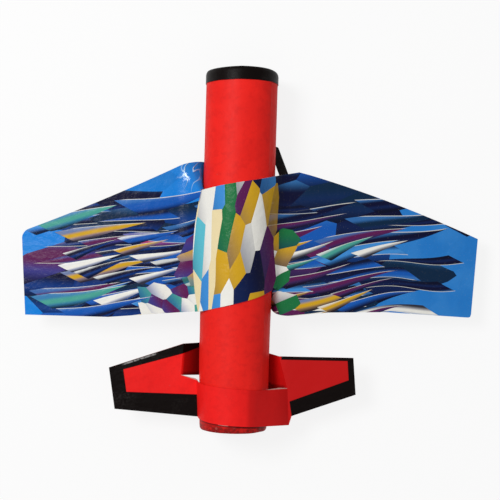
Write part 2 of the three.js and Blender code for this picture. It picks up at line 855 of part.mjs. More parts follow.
const tail = new THREE.Group();
tail.position.y = tailEnd + tailDatumFromTailEnd;
glider.add(tail);
addPiece(tail, 'tail_sheet', tailSheet(), redCard);
[['left', leftTapes()], ['right', rightTapes()]].forEach(([side, tapes]) => {
  addPiece(tail, `tail_tape_${side}_leading`, tapes.lead, blackTape);
  addPiece(tail, `tail_tape_${side}_tip`, tapes.tip, blackTape);
  addPiece(tail, `tail_tape_${side}_trailing`, tapes.trail, blackTape);
});

export default glider;
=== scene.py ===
"""A hand thrown glider: a red paper covered tube with a printed card wing and a red card tail.

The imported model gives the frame. Lengths below are in millimetres, measured from the tube's axis
and, along the tube, from the datum of the wing or of the tail. X is the span and Y runs to the nose.
"""
import logging
import math
from collections.abc import Callable, Sequence
from dataclasses import dataclass
from enum import Enum
from typing import Any

import bmesh
import bpy
import numpy as np
from mathutils import Matrix, Vector, noise


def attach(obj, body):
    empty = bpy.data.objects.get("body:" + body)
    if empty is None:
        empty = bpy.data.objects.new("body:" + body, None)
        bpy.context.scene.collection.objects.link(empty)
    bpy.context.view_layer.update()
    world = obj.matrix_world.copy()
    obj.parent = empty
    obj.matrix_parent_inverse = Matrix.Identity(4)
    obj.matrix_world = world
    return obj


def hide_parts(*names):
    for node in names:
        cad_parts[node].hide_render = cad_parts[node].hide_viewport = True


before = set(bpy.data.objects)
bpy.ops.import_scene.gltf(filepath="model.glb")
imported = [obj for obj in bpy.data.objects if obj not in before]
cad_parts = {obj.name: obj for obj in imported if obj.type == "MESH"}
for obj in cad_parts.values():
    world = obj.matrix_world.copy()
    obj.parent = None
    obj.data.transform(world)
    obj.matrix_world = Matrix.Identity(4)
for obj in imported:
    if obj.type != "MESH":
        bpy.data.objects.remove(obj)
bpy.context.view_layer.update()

log = logging.getLogger("glider")
MM = 0.001
WELD = 0.00001
Colour = tuple[float, float, float]
Point = tuple[float, float, float]
Profile = Callable[[float], float]


class Body(Enum):
    """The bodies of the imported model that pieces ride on."""

    FUSELAGE = "fuselage"
    WING = "wing"
    TAIL = "tail"


class Side(Enum):
    """The two sides of the tube."""

    LEFT = -1
    RIGHT = 1


def shown(red: int, green: int, blue: int) -> Colour:
    """The linear colour of one that is seen as these parts of 255."""
    parts = [part / 255 for part in (red, green, blue)]
    return tuple(p / 12.92 if p <= 0.04045 else ((p + 0.055) / 1.055) ** 2.4 for p in parts)


def arch(share: Any) -> Any:
    """An arch from 0 to 1 and back to 0."""
    return 4 * share * (1 - share)


def ease(value: Any, low: float, high: float) -> Any:
    """A smooth step from 0 at one value to 1 at another."""
    share = np.clip((np.asarray(value, dtype=float) - low) / (high - low), 0, 1)
    return share * share * (3 - 2 * share)


def wander(x: float, y: float, size: float, seed: float) -> float:
    """A smooth random height between -1 and 1 over a place in millimetres.

    Args:
        x: The first coordinate.
        y: The second coordinate.
        size: How far apart the humps are.
        seed: Which of many such reliefs it is.

    Returns:
        The height.
    """
    return noise.noise(Vector((x / size, y / size, seed)))


# Materials


class Value:
    """A number inside a material, on which plain arithmetic adds Math nodes."""

    def __init__(self, graph: "Graph", socket: bpy.types.NodeSocket) -> None:
        """Wrap one output socket of a graph."""
        self.graph = graph
        self.socket = socket

    def _math(self, operation: str, first: Any, second: Any = 0.0, clamp: bool = False) -> "Value":
        """Add one Math node and return its result."""
        settings = {"operation": operation, "use_clamp": clamp}
        return self.graph.value("ShaderNodeMath", settings, {0: first, 1: second})

    def __add__(self, other: Any) -> "Value":
        """The sum."""
        return self._math("ADD", self, other)

    __radd__ = __add__

    def __sub__(self, other: Any) -> "Value":
        """The difference."""
        return self._math("SUBTRACT", self, other)

    def __rsub__(self, other: Any) -> "Value":
        """The difference the other way round."""
        return self._math("SUBTRACT", other, self)

    def __mul__(self, other: Any) -> "Value":
        """The product."""
        return self._math("MULTIPLY", self, other)

    __rmul__ = __mul__

    def __abs__(self) -> "Value":
        """The distance from 0."""
        return self._math("ABSOLUTE", self)

    def over(self, level: Any) -> "Value":
        """1 where this is more than a level, otherwise 0."""
        return self._math("GREATER_THAN", self, level)

    def floor(self) -> "Value":
        """The whole number below this."""
        return self._math("FLOOR", self)

    def clamped(self) -> "Value":
        """This, kept between 0 and 1."""
        return self._math("ADD", self, 0.0, clamp=True)

    def eased(self, low: float, high: float) -> "Value":
        """A smooth step from 0 at one level to 1 at another, which may be the lower one."""
        inputs = {"Value": self, "From Min": low, "From Max": high}
        return self.graph.value("ShaderNodeMapRange", {"interpolation_type": "SMOOTHSTEP"}, inputs)


class Graph:
    """The nodes of one material."""

    def __init__(self, name: str) -> None:
        """Start an empty material of this name.

        Args:
            name: The material's name.
        """
        self.material = bpy.data.materials.new(name)
        self.material.use_nodes = True
        self.tree = self.material.node_tree
        self.tree.nodes.clear()

    def node(self, kind: str, settings: dict | None = None, inputs: dict | None = None) -> bpy.types.Node:
        """Add one node.

        Args:
            kind: The node's type.
            settings: Its options, set first; "stops" fills a colour ramp.
            inputs: Values or links by the name or number of the socket.

        Returns:
            The node.
        """
        node = self.tree.nodes.new(kind)
        for key, value in (settings or {}).items():
            if key == "stops":
                self._fill(node.color_ramp, value)
            else:
                setattr(node, key, value)
        for key, value in (inputs or {}).items():
            self._join(node.inputs[key], value)
        return node

    def _fill(self, ramp: bpy.types.ColorRamp, stops: Sequence[tuple[float, Colour]]) -> None:
        """Give a ramp its stops, which are pairs of a place and a colour.

        Args:
            ramp: The colour ramp.
            stops: The pairs, in order.
        """
        while len(ramp.elements) < len(stops):
            ramp.elements.new(1)
        for element, (place, colour) in zip(ramp.elements, stops):
            element.position = place
            element.color = (*colour, 1)

    def _join(self, socket: bpy.types.NodeSocket, value: Any) -> None:
        """Link a value to a socket, or set it there.

        Args:
            socket: An input of a node.
            value: A wrapped value, an output, a colour or a number.
        """
        if isinstance(value, Value):
            value = value.socket
        if isinstance(value, bpy.types.NodeSocket):
            self.tree.links.new(value, socket)
        elif isinstance(value, tuple) and len(value) == 3 and socket.type == "RGBA":
            socket.default_value = (*value, 1)
        else:
            socket.default_value = value

    def value(self, kind: str, settings: dict | None = None, inputs: dict | None = None) -> Value:
        """Add one node and wrap its first output."""
        return Value(self, self.node(kind, settings, inputs).outputs[0])

    def place(self, stretch: Point = (1, 1, 1)) -> bpy.types.NodeSocket:
        """The place on the object in metres, stretched by three factors."""
        where = self.node("ShaderNodeTexCoord").outputs["Object"]
        return self.vector("MULTIPLY", where, stretch)

    def vector(self, operation: str, first: Any, second: Any) -> bpy.types.NodeSocket:
        """Vector arithmetic on two vectors."""
        inputs = {0: first, 1: second}
        return self.node("ShaderNodeVectorMath", {"operation": operation}, inputs).outputs[0]

    def parts(self, vector: Any) -> tuple[Value, Value, Value]:
        """The three numbers in a vector or colour."""
        node = self.node("ShaderNodeSeparateXYZ", inputs={0: vector})
        return tuple(Value(self, output) for output in node.outputs)

    def noise(self, where: Any, scale: float, detail: float = 3.0, rough: float = 0.5) -> Value:
        """Soft random values about 0.5."""
        inputs = {"Vector": where, "Scale": scale, "Detail": detail, "Roughness": rough}
        return self.value("ShaderNodeTexNoise", inputs=inputs)

    def random(self, row: Any, column: Any = 0.0) -> tuple[Value, Value, Value]:
        """Three random numbers for each whole row and column."""
        cell = self.node("ShaderNodeCombineXYZ", inputs={0: row, 1: column}).outputs[0]
        return self.parts(self.node("ShaderNodeTexWhiteNoise", inputs={0: cell}).outputs["Color"])

    def ramp(self, pick: Any, colours: Sequence[Colour]) -> bpy.types.NodeSocket:
        """One of several colours, picked by a number from 0 to 1.

        Args:
            pick: The number.
            colours: The colours, in order.

        Returns:
            The picked colour's socket.
        """
        stops = [(i / len(colours), colour) for i, colour in enumerate(colours)]
        node = self.node("ShaderNodeValToRGB", {"stops": stops}, {0: pick})
        node.color_ramp.interpolation = "CONSTANT"
        return node.outputs[0]

    def mix(self, share: Any, first: Any, second: Any, blend: str = "MIX") -> bpy.types.NodeSocket:
        """A colour between two.

        Args:
            share: 0 for the first, 1 for the second.
            first: A colour or a link.
            second: A colour or a link.
            blend: Blender's blend mode.

        Returns:
            The mixed colour's socket.
        """
        settings = {"data_type": "RGBA", "blend_type": blend, "clamp_factor": True}
        return self.node("ShaderNodeMix", settings, {0: share, 6: first, 7: second}).outputs[2]

    def bump(self, height: Any, depth: float, under: Any = None) -> bpy.types.NodeSocket:
        """Relief of a depth in metres, over another relief if one is given.

        Args:
            height: The relief, from 0 to 1.
            depth: How deep it is.
            under: The normal of the other relief.

        Returns:
            The new normal's socket.
        """
        inputs = {"Height": height, "Distance": depth, "Strength": 1.0}
        if under is not None:
            inputs["Normal"] = under
        return self.node("ShaderNodeBump", inputs=inputs).outputs[0]

    def finish(self, **inputs: Any) -> bpy.types.Material:
        """Close the material with a shader whose sockets are given, with _ for a space.

        Args:
            **inputs: Values or links by the names of the shader's sockets.

        Returns:
            The material.
        """
        named = {key.replace("_", " "): value for key, value in inputs.items()}
        shader = self.node("ShaderNodeBsdfPrincipled", inputs=named)
        self.node("ShaderNodeOutputMaterial", inputs={"Surface": shader.outputs[0]})
        return self.material


@dataclass(frozen=True)
class PaintedTailShade:
    """Painted shade on the tail card: its right half is painted a deeper red, the strips that dip beside the
    tube are painted dark, and a painted shadow lies along the right slit.

    Places across are in metres, levels in millimetres from the tube's axis or from the tail's datum.
    """

    middle: float
    right_half_shade: Colour
    step: float = 0.0035
    step_share: float = 0.62
    full: tuple[float, float] = (0.017, 0.028)
    side: float = 0.02
    # Levels from the axis where the painted shade of the dipping strips begins and where it deepens.
    dip_shade: tuple[float, float] = (0.2, -1.4)
    deep: tuple[float, float] = (-1, -9)
    dip_shade_share: float = 0.66
    deeper_shade_share: float = 0.24
    slit: tuple[float, float] = (2.6, 0.4)
    slit_shadow_turn: float = 0.0066
    slit_shadow_share: float = 0.6

    def lay(self, g: Graph, place: Any, colour: Any) -> bpy.types.NodeSocket:
        """Paint shade over the card's own red.

        Args:
            g: The material's graph.
            place: The place on the card.
            colour: Its own red.

        Returns:
            The new colour's socket.
        """
        x, y, z = g.parts(place)
        # Painted shade: the card's right half turns a deeper red past the middle.
        half = x.eased(self.middle, self.middle + self.step) * self.step_share
        full_from, full_to = self.full
        half = half + x.eased(self.middle + full_from, self.middle + full_to) * (1 - self.step_share)
        colour = g.mix(half, colour, self.right_half_shade)
        # Painted shade: the strips darken where they dip below the panels beside the tube, darkest deep under
        # it.
        dip_shade = z.eased(*((Tube.axis + level) * MM for level in self.dip_shade))
        deeper_shade = z.eased(*((Tube.axis + level) * MM for level in self.deep))
        left = x.eased(self.middle, self.middle - self.side)
        right = x.eased(self.middle, self.middle + self.side)
        shade = dip_shade * left * (deeper_shade * self.deeper_shade_share + self.dip_shade_share)
        colour = g.mix(shade, colour, shown(106, 6, 6))
        # Painted shadow: a dark band along the slit's edge, on the right.
        slit = y + right * self.slit_shadow_turn
        edge = slit.eased(*((Tail.datum + level) * MM for level in self.slit))
        return g.mix(dip_shade * edge * self.slit_shadow_share, colour, shown(60, 4, 6))


@dataclass(frozen=True)
class StrapShadowLine:
    """A painted shadow: the dark line on the paper behind the rear edge of the tail's strap, in metres."""

    along: float = -0.108
    slope: float = -0.066
    rear: tuple[float, float] = (-0.0019, -0.0009)
    front: tuple[float, float] = (0.0006, -0.0002)
    share: float = 0.8

    def lay(self, g: Graph, place: Any, colour: Any) -> bpy.types.NodeSocket:
        """Paint the shadow line over the paper's own red.

        Args:
            g: The material's graph.
            place: The place on the paper.
            colour: Its own red.

        Returns:
            The new colour's socket.
        """
        x, y, _ = g.parts(place)
        behind = y - x * self.slope - self.along
        line = behind.eased(*self.rear) * behind.eased(*self.front)
        # Painted shadow: a narrow dark red line just behind the strap's rear edge.
        return g.mix(line * self.share, colour, shown(78, 6, 6))


@dataclass(frozen=True)
class Paper:
    """Coloured paper or card: fibres, soft mottling, scuffs and a faint sheen."""

    name: str
    colour: Colour
    deep: Colour
    scuff: Colour
    roughness: float = 0.5
    mottle: float = 0.3
    fibre_depth: float = 0.00003
    # The tail end's wear and painted shade: full at the first place along the tube, none at the second, in
    # metres.
    worn_and_shaded_from: float = -0.116
    worn_and_shaded_to: float = -0.115
    sheen: float = 0.15
    # Painted shade laid over the colour, if any: the tail card's shade or the strap's shadow line.
    drawn: PaintedTailShade | StrapShadowLine | None = None

    def material(self) -> bpy.types.Material:
        """Build the material.

        Returns:
            The material.
        """
        g = Graph(self.name)
        place = g.place()
        clouds = g.noise(place, 38, 4, 0.6)
        grain = g.noise(g.place((1, 0.35, 1)), 900, 2, 0.6)
        specks = g.noise(place, 420, 2, 0.7)
        worn_and_shaded = g.parts(place)[1].eased(self.worn_and_shaded_to, self.worn_and_shaded_from)
        colour = g.mix(clouds.eased(0.35, 0.75) * self.mottle, self.colour, self.deep)
        colour = g.mix((grain - 0.42) * 0.35, colour, self.deep)
        colour = g.mix(g.noise(place, 210, 3, 0.6).eased(0.45, 0.7) * self.mottle, colour, self.deep)
        colour = g.mix(specks.eased(0.7, 0.78) * 0.18, colour, self.scuff)
        dirt = g.noise(place, 260, 5, 0.7)
        # Towards the tail end the paper darkens: partly scuffs and dirt blotches, partly painted shade behind
        # the strap's rear edge.
        colour = g.mix(worn_and_shaded * (dirt.eased(0.4, 0.58) * 0.5 + 0.35), colour, shown(104, 13, 12))
        colour = g.mix(worn_and_shaded * dirt.eased(0.60, 0.66) * 0.3, colour, self.scuff)
        if self.drawn is not None:
            colour = self.drawn.lay(g, place, colour)
        folds = g.bump(g.noise(place, 55, 2), 0.0007)
        relief = g.bump(grain + worn_and_shaded * dirt * 2, self.fibre_depth, folds)
        roughness = (grain * 0.2 + clouds * 0.15 + (self.roughness - 0.17)).clamped()
        return g.finish(Base_Color=colour, Roughness=roughness, Normal=relief, Specular_IOR_Level=self.sheen)


@dataclass(frozen=True)
class BlackTape:
    """Black adhesive tape: a smooth skin with small wrinkles and grey wear, and where a line is given, a
    painted sheen streak along it.
    """

    name: str
    colour: Colour
    wear: Colour
    wear_share: float = 0.12
    roughness: float = 0.42
    # A line along which a pale painted sheen streak is laid, if any.
    rubbed: tuple[tuple[float, float], tuple[float, float]] | None = None

    def material(self) -> bpy.types.Material:
        """Build the material.

        Returns:
            The material.
        """
        g = Graph(self.name)
        place = g.place()
        wrinkles = g.noise(g.place((1, 1.6, 1)), 160, 4, 0.6)
        dust = g.noise(place, 700, 4, 0.75)
        rubbed = g.noise(place, 46, 3, 0.6)
        wear = rubbed.eased(0.5, 0.72) * dust.eased(0.42, 0.7) * self.wear_share
        colour = g.mix(wear, self.colour, self.wear)
        if self.rubbed is not None:
            # Painted sheen: a pale grey streak along the line, flecked by the dust.
            (x0, y0), (x1, y1) = self.rubbed
            length = math.hypot(x1 - x0, y1 - y0)
            east, north = (x1 - x0) / length, (y1 - y0) / length
            x, y, _ = g.parts(place)
            away = abs((x - x0) * north - (y - y0) * east)
            along = (x - x0) * east + (y - y0) * north
            streak = away.eased(0.0008, 0.0002) * abs(along - length / 2).eased(length / 2, length / 3)
            colour = g.mix(streak * dust.eased(0.35, 0.55) * 0.75, colour, shown(176, 174, 172))
        roughness = (dust * 0.3 + wear * 0.2 + (self.roughness - 0.15)).clamped()
        relief = g.bump(dust, 0.00003, g.bump(wrinkles, 0.00035))
        return g.finish(Base_Color=colour, Roughness=roughness, Normal=relief, Specular_IOR_Level=0.09)


@dataclass(frozen=True)
class WoundBoard:
    """Grey brown board wound in a spiral: seams, long fibres and flecks."""

    name: str
    colour: Colour
    dark: Colour
    pitch: float = 0.062

    def material(self) -> bpy.types.Material:
        """Build the material.

        Returns:
            The material.
        """
        g = Graph(self.name)
        place = g.place()
        x, y, z = g.parts(g.vector("SUBTRACT", place, (Tube.x0 * MM, 0, Tube.axis * MM)))
        turn = g.value("ShaderNodeMath", {"operation": "ARCTAN2"}, {0: x, 1: z})
        winding = (y + turn * (self.pitch / (2 * math.pi))) * (1 / self.pitch)
        ply = g.value("ShaderNodeMath", {"operation": "FRACT"}, {0: winding})
        seam = (ply.eased(0.03, 0.0) + ply.eased(0.985, 1.0)).clamped()
        fibres = g.noise(g.place((1, 0.25, 1)), 600, 4, 0.7)
        flecks = g.noise(place, 320, 3, 0.7)
        colour = g.mix(fibres.eased(0.3, 0.75) * 0.6, self.colour, self.dark)
        colour = g.mix(flecks.eased(0.62, 0.7) * 0.5, colour, shown(214, 192, 156))
        colour = g.mix(seam * 0.7, colour, shown(84, 62, 40))
        relief = g.bump(fibres * 0.4 - seam, 0.00012)
        return g.finish(Base_Color=colour, Roughness=(fibres * 0.2 + 0.75).clamped(), Normal=relief)


@dataclass(frozen=True)
class Layer:
    """One layer of the print: its colour, where it covers, and its relief."""

    colour: bpy.types.NodeSocket
    cover: Value
    relief: Value


Where = Callable[[Value, Value, Value], Value]
SKY, NAVY = shown(66, 146, 220), shown(7, 11, 50)


@dataclass(frozen=True)
class Lay:
    """How a layer's own axes lie on the flat card: turned by degrees and moved by centimetres."""

    slant: float
    shift: float
    ahead: float = 0.7

    def onto(self, g: Graph, flat: Any, scale: Point = (1, 1, 1)) -> bpy.types.NodeSocket:
        """The place on the card as the layer sees it, in units of a scale."""
        return g.node("ShaderNodeMapping", {"vector_type": "TEXTURE"}, {
            "Vector": flat, "Location": (self.shift, self.shift * self.ahead, 0),
            "Rotation": (0, 0, math.radians(self.slant)), "Scale": scale,
        }).outputs[0]

    def back(self, along: Value, across: Value) -> tuple[Value, Value]:
        """The place on the card of one that the layer sees.

        Args:
            along: Its place along the layer's slant.
            across: Its place across it.

        Returns:
            Its span and its lead.
        """
        turn = math.radians(self.slant)
        span = along * math.cos(turn) - across * math.sin(turn) + self.shift
        lead = along * math.sin(turn) + across * math.cos(turn) + self.shift * self.ahead
        return span, lead


def shaded(g: Graph, colour: Any, side: Value, light: Colour, deep: Colour) -> bpy.types.NodeSocket:
    """Blend a colour to light on one side of a shape, and to deep and then near black on the other.

    Args:
        g: The material's graph.
        colour: The shape's own colour.
        side: Where across it, below 0 on the dark side.
        light: Its light side.
        deep: Its dark side.

    Returns:
        The shaded colour's socket.
    """
    colour = g.mix(side.eased(0.16, 0.46) * 0.8, colour, light)
    colour = g.mix(side.eased(0.04, -0.2) * 0.6, colour, deep)
    return g.mix(side.eased(-0.1, -0.42) * 0.92, colour, shown(5, 7, 34))


@dataclass(frozen=True)
class Facets:
    """Flat angular patches that meet edge to edge: their size, slant and colours."""

    length: float
    width: float
    lay: Lay
    colours: tuple[Colour, ...]
    tone: float
    where: Where

    def paint(self, g: Graph, flat: Any, deep: Colour) -> Layer:
        """Lay the patches out, each one whole or left out.

        Args:
            g: The material's graph.
            flat: The place on the flat card, in centimetres.
            deep: The colour of their dark sides.

        Returns:
            The painted layer.
        """
        place = self.lay.onto(g, flat, (self.length, self.width, 1))
        plan = {"voronoi_dimensions": "2D"}
        cells = g.node("ShaderNodeTexVoronoi", plan, {"Vector": place, "Scale": 1.0})
        pick, tone, number = g.parts(cells.outputs["Color"])
        along, across, _ = g.parts(g.vector("SUBTRACT", place, cells.outputs["Position"]))
        side = (across + along * 0.7) * self.tone + (tone - 0.5) * 0.3
        colour = shaded(g, g.ramp(pick, self.colours), side, shown(60, 130, 200), deep)
        plan["feature"] = "DISTANCE_TO_EDGE"
        edge = g.value("ShaderNodeTexVoronoi", plan, {"Vector": place, "Scale": 1.0})
        middle, middle_across, _ = g.parts(cells.outputs["Position"])
        span, lead = self.lay.back(middle * self.length, middle_across * self.width)
        return Layer(colour, self.where(span, lead, number), edge.eased(0.0, 0.1) * 0.3)


@dataclass(frozen=True)
class Splinters:
    """Rows of long pointed splinters, each shaded from light to dark across its width."""

    length: float
    width: float
    lay: Lay
    colours: tuple[Colour, ...]
    light: Colour
    where: Where
    stagger: float = 7.3
    shear: float = 0.22
    turn: float = 0.8
    breadth: float = 0.4
    vary: float = 0.3

    def paint(self, g: Graph, flat: Any, deep: Colour) -> Layer:
        """Lay the splinters out, each one whole or left out.

        Args:
            g: The material's graph.
            flat: The place on the flat card, in centimetres.
            deep: The colour of their dark sides.

        Returns:
            The painted layer.
        """
        along, across, _ = g.parts(self.lay.onto(g, flat))
        rows = across * (1 / self.width)
        row = rows.floor()
        start, _, _ = g.random(row)
        y = rows - row - 0.5
        start = start * self.stagger
        columns = along * (1 / self.length) + start + y * self.shear
        column = columns.floor()
        x = columns - column
        pick, tone, number = g.random(row, column)
        offset = y - (pick - 0.5) * self.turn * x
        within = (1 - x) * (tone * self.vary + self.breadth) - abs(offset)
        side = offset * 1.15 + (tone - 0.5) * 0.35
        colour = shaded(g, g.ramp(number, self.colours), side, self.light, deep)
        line = within.eased(0.07, 0.03) * offset.over(0)
        colour = g.mix(line * 0.85, colour, shown(244, 244, 236))
        span, lead = self.lay.back((column + 0.5 - start) * self.length, (row + 0.5) * self.width)
        cover = within.eased(0.0, 0.025) * self.where(span, lead, pick)
        return Layer(colour, cover, within.eased(0.0, 0.22))


@dataclass(frozen=True)
class PrintedCard:
    """Glossy card with a generic print of blue, plum and gold splinters and shallow embossing."""

    name: str
    ground: Colour
    deep: Colour
    seed: float = 0.0
    dark_reach: float = 12.0
    bare_root: float = 99.0
    bare_reach: float = 7.6
    crumple: tuple[float, float] | None = None
    banded: bool = True
    gloss: float = 0.3
    emboss: float = 0.00016

    def layers(self) -> tuple[Facets | Splinters, ...]:
        """The layers of the print, from the lowest up. Places on the card are in centimetres.

        Returns:
            The layers.
        """
        blue, teal, plum = shown(22, 92, 184), shown(8, 40, 70), shown(96, 28, 84)
        cyan, white, cream = shown(96, 196, 214), shown(246, 244, 236), shown(244, 226, 178)
        rose, gold, green = shown(206, 66, 108), shown(216, 168, 34), shown(30, 118, 66)
        sea, pale, steel = shown(76, 166, 152), shown(238, 240, 238), shown(58, 120, 190)
        move = self.seed

        def out(span: Value) -> Value:
            """How far from the tube a place on the card is."""
            return abs(span - move)

        def within(span: Value, reach: float) -> Value:
            """Where the card is nearer to the tube than a reach."""
            return out(span).eased(reach, reach - 0.1)

        def ahead(lead: Value, line: float) -> Value:
            """Where the card is ahead of a line."""
            return lead.eased(line, line + 0.1)

        def behind(lead: Value, line: float) -> Value:
            """Where the card is behind a line."""
            return lead.eased(line, line - 0.1)

        def inner(span: Value, lead: Value) -> Value:
            """Where the ground isn't left bare beside the root."""
            return (1 - ahead(lead, self.bare_root) * within(span, self.bare_reach)).clamped()

        if self.banded:
            small = (white, gold, NAVY, cream, plum, white, sea)
        else:
            small = (NAVY, white, blue, NAVY, gold, SKY, NAVY)
        layers = (
            Facets(
                3.6, 1.3, Lay(16, move), (NAVY, teal, NAVY, blue, plum, teal, NAVY), 0.34,
                lambda span, lead, number: within(span, self.dark_reach) * inner(span, lead),
            ),
            Splinters(
                6.8, 1.1, Lay(11, move + 4.4), (NAVY, rose, NAVY, teal, NAVY, blue, NAVY), steel,
                lambda span, lead, number: ahead(lead, 4.4) * inner(span, lead) * number.over(0.3),
            ),
            Splinters(
                5.2, 0.78, Lay(188, move + 1.3), (NAVY, blue, plum, NAVY, white, NAVY, SKY, blue), steel,
                lambda span, lead, number: behind(lead, 6.3) * within(span, 12.8) * number.over(0.2),
            ),
            Splinters(
                5.4, 0.84, Lay(14, move + 3.3), (SKY, NAVY, blue, plum, white, NAVY, gold, NAVY, plum), steel,
                lambda span, lead, number: behind(lead, 5.9) * within(span, 11.8) * number.over(0.2),
            ),
            Splinters(
                3.6, 0.64, Lay(18, move + 8.9), small, pale,
                lambda span, lead, number: behind(lead, 5.3) * within(span, 10.4) * number.over(0.25),
            ),
            Facets(
                1.5, 0.8, Lay(24, move + 3.8), (plum, gold, white, green, plum, sea, gold), 0.14,
                lambda span, lead, number: within(span, 4.3) * behind(lead, 5.6) * number.over(0.25),
            ),
        )
        if not self.banded:
            return layers + (
                Facets(
                    1.0, 0.6, Lay(-32, move + 6.9), (white, sea, white, plum, white, sea, cream), 0.16,
                    lambda span, lead, number: behind(lead, 1.9) * within(span, 6.9),
                ),
                Splinters(
                    5.8, 0.95, Lay(15, move + 2.2), (NAVY, rose, blue, NAVY, sea, NAVY, blue), steel,
                    lambda span, lead, number: out(span).eased(8.2, 8.3) * within(span, 12.9)
                    * behind(lead, 6.6) * number.over(0.4),
                ),
            )
        return layers + (
            Facets(
                0.85, 2.3, Lay(-6, move + 1.7), (gold, plum, white, NAVY, gold, green, SKY, plum, gold), 0.12,
                lambda span, lead, number: out(span).eased(2.75, 2.7),
            ),
            Facets(
                0.6, 3.0, Lay(-4, move + 2.9), (white, cream, cyan, white, SKY), 0.12,
                lambda span, lead, number: (span - move).eased(-1.5, -1.55),
            ),
        )

    def material(self) -> bpy.types.Material:
        """Build the material, layer over layer.

        Returns:
            The material.
        """
        g = Graph(self.name)
        uv = g.node("ShaderNodeUVMap", {"uv_map": "flat"}).outputs[0]
        moved = g.vector("ADD", uv, (self.seed, 0, 0))
        drift = g.node("ShaderNodeTexNoise", inputs={"Vector": moved, "Scale": 0.17, "Detail": 0.0})
        bend = g.vector("SUBTRACT", drift.outputs["Color"], (0.5, 0.5, 0.5))
        bend = g.vector("MULTIPLY", bend, (0.5, 1.1, 0))
        flat = g.vector("ADD", moved, bend)
        colour = g.mix(g.noise(uv, 0.6, 3).eased(0.35, 0.7) * 0.4, self.ground, SKY)
        relief: Any = 0.0
        for field in self.layers():
            layer = field.paint(g, flat, self.deep)
            colour = g.mix(layer.cover, colour, layer.colour)
            relief = layer.cover * layer.relief + (1 - layer.cover) * relief
        dots = g.noise(uv, 120, 2, 0.6)
        colour = g.mix((dots - 0.45) * 0.3, colour, NAVY)
        colour = g.mix(g.noise(uv, 34, 2, 0.7).eased(0.7, 0.74) * 0.7, colour, shown(244, 226, 178))
        shape = g.bump(relief, self.emboss)
        shape = g.bump(g.noise(uv, 1.5, 3), 0.0006, shape)
        shape = g.bump(g.noise(uv, 9, 3), 0.00008, shape)
        coat: Any = 0.04
        if self.crumple is not None:
            span, lead, _ = g.parts(uv)
            near = abs(span - self.crumple[0]).eased(0.95, 0.2)
            near = near * abs(lead - self.crumple[1]).eased(1.5, 0.3)
            folds = abs(g.noise(g.vector("ADD", uv, g.vector("MULTIPLY", bend, (6, 6, 0))), 1.4, 1) - 0.5)
            # Painted highlight: pale blue-white lines along the crumple's folds, where the glossy creases
            # catch the light.
            colour = g.mix(folds.eased(0.035, 0.01) * near * 0.85, colour, shown(206, 236, 255))
            shape = g.bump((1 - folds.eased(0.0, 0.07)) * near, 0.0004, shape)
            coat = near * 0.5 + coat
        roughness = (dots * 0.08 + (self.gloss - 0.04)).clamped()
        return g.finish(
            Base_Color=colour, Roughness=roughness, Normal=shape,
            Specular_IOR_Level=0.12, Coat_Weight=coat, Coat_Roughness=0.1,
        )


@dataclass(frozen=True)
class Finishes:
    """Every material of the glider."""

    printed_right: bpy.types.Material
    printed_left: bpy.types.Material
    plain_back: bpy.types.Material
    cut_edge: bpy.types.Material
    red_paper: bpy.types.Material
    red_card: bpy.types.Material
    red_edge: bpy.types.Material
    torn_card: bpy.types.Material
    black_tape: bpy.types.Material
    rubbed_tape: bpy.types.Material
    black_card: bpy.types.Material
    wound_board: bpy.types.Material

    @classmethod
    def make(cls) -> "Finishes":
        """Build them all.

        Returns:
            The finishes.
        """
        pink, grey = shown(236, 130, 118), shown(120, 116, 112)
        return cls(
            printed_right=PrintedCard(
                "printed_card_right", shown(38, 126, 208), shown(16, 44, 100),
            ).material(),
            printed_left=PrintedCard(
                "printed_card_left", shown(16, 132, 226), shown(14, 76, 168), 41.0, 13.4, 7.3,
                crumple=(-3.95, 8.75), banded=False,
            ).material(),
            plain_back=Paper(
                "plain_card_back", shown(226, 223, 214), shown(188, 182, 168), shown(246, 244, 238),
            ).material(),
            cut_edge=Paper(
                "cut_card_edge", shown(234, 232, 226), shown(196, 190, 180), shown(250, 250, 248), 0.7,
            ).material(),
            red_paper=Paper(
                "red_paper", shown(250, 36, 28), shown(214, 24, 22), pink, 0.52, 0.35,
                # The tail end darkens, partly wear and partly painted shade, and the strap's painted shadow
                # line lies on it.
                worn_and_shaded_from=-0.1105, worn_and_shaded_to=-0.1055, drawn=StrapShadowLine(),
            ).material(),
            red_card=Paper(
                "red_card", shown(252, 30, 28), shown(214, 18, 20), pink, 0.5, 0.25,
                # The tail card's painted shade.
                drawn=PaintedTailShade((Tube.x0 + 8) * MM, shown(200, 15, 16)),
            ).material(),
            red_edge=Paper(
                "red_card_edge", shown(222, 26, 23), shown(180, 16, 16), shown(250, 190, 180), 0.7,
            ).material(),
            torn_card=Paper(
                "torn_card", shown(218, 172, 164), shown(176, 96, 88), shown(250, 244, 240), 0.8,
            ).material(),
            black_tape=BlackTape("black_tape", shown(11, 4, 3), grey).material(),
            # The tape with the painted sheen streak, for the left leading edge.
            rubbed_tape=BlackTape(
                "rubbed_tape", shown(11, 4, 3), grey, rubbed=((-0.0795, -0.0746), (-0.0555, -0.0662)),
            ).material(),
            black_card=BlackTape("black_card", shown(12, 11, 12), grey, 0.1, 0.6).material(),
            wound_board=WoundBoard("wound_board", shown(176, 146, 106), shown(132, 104, 72)).material(),
        )


# Meshes


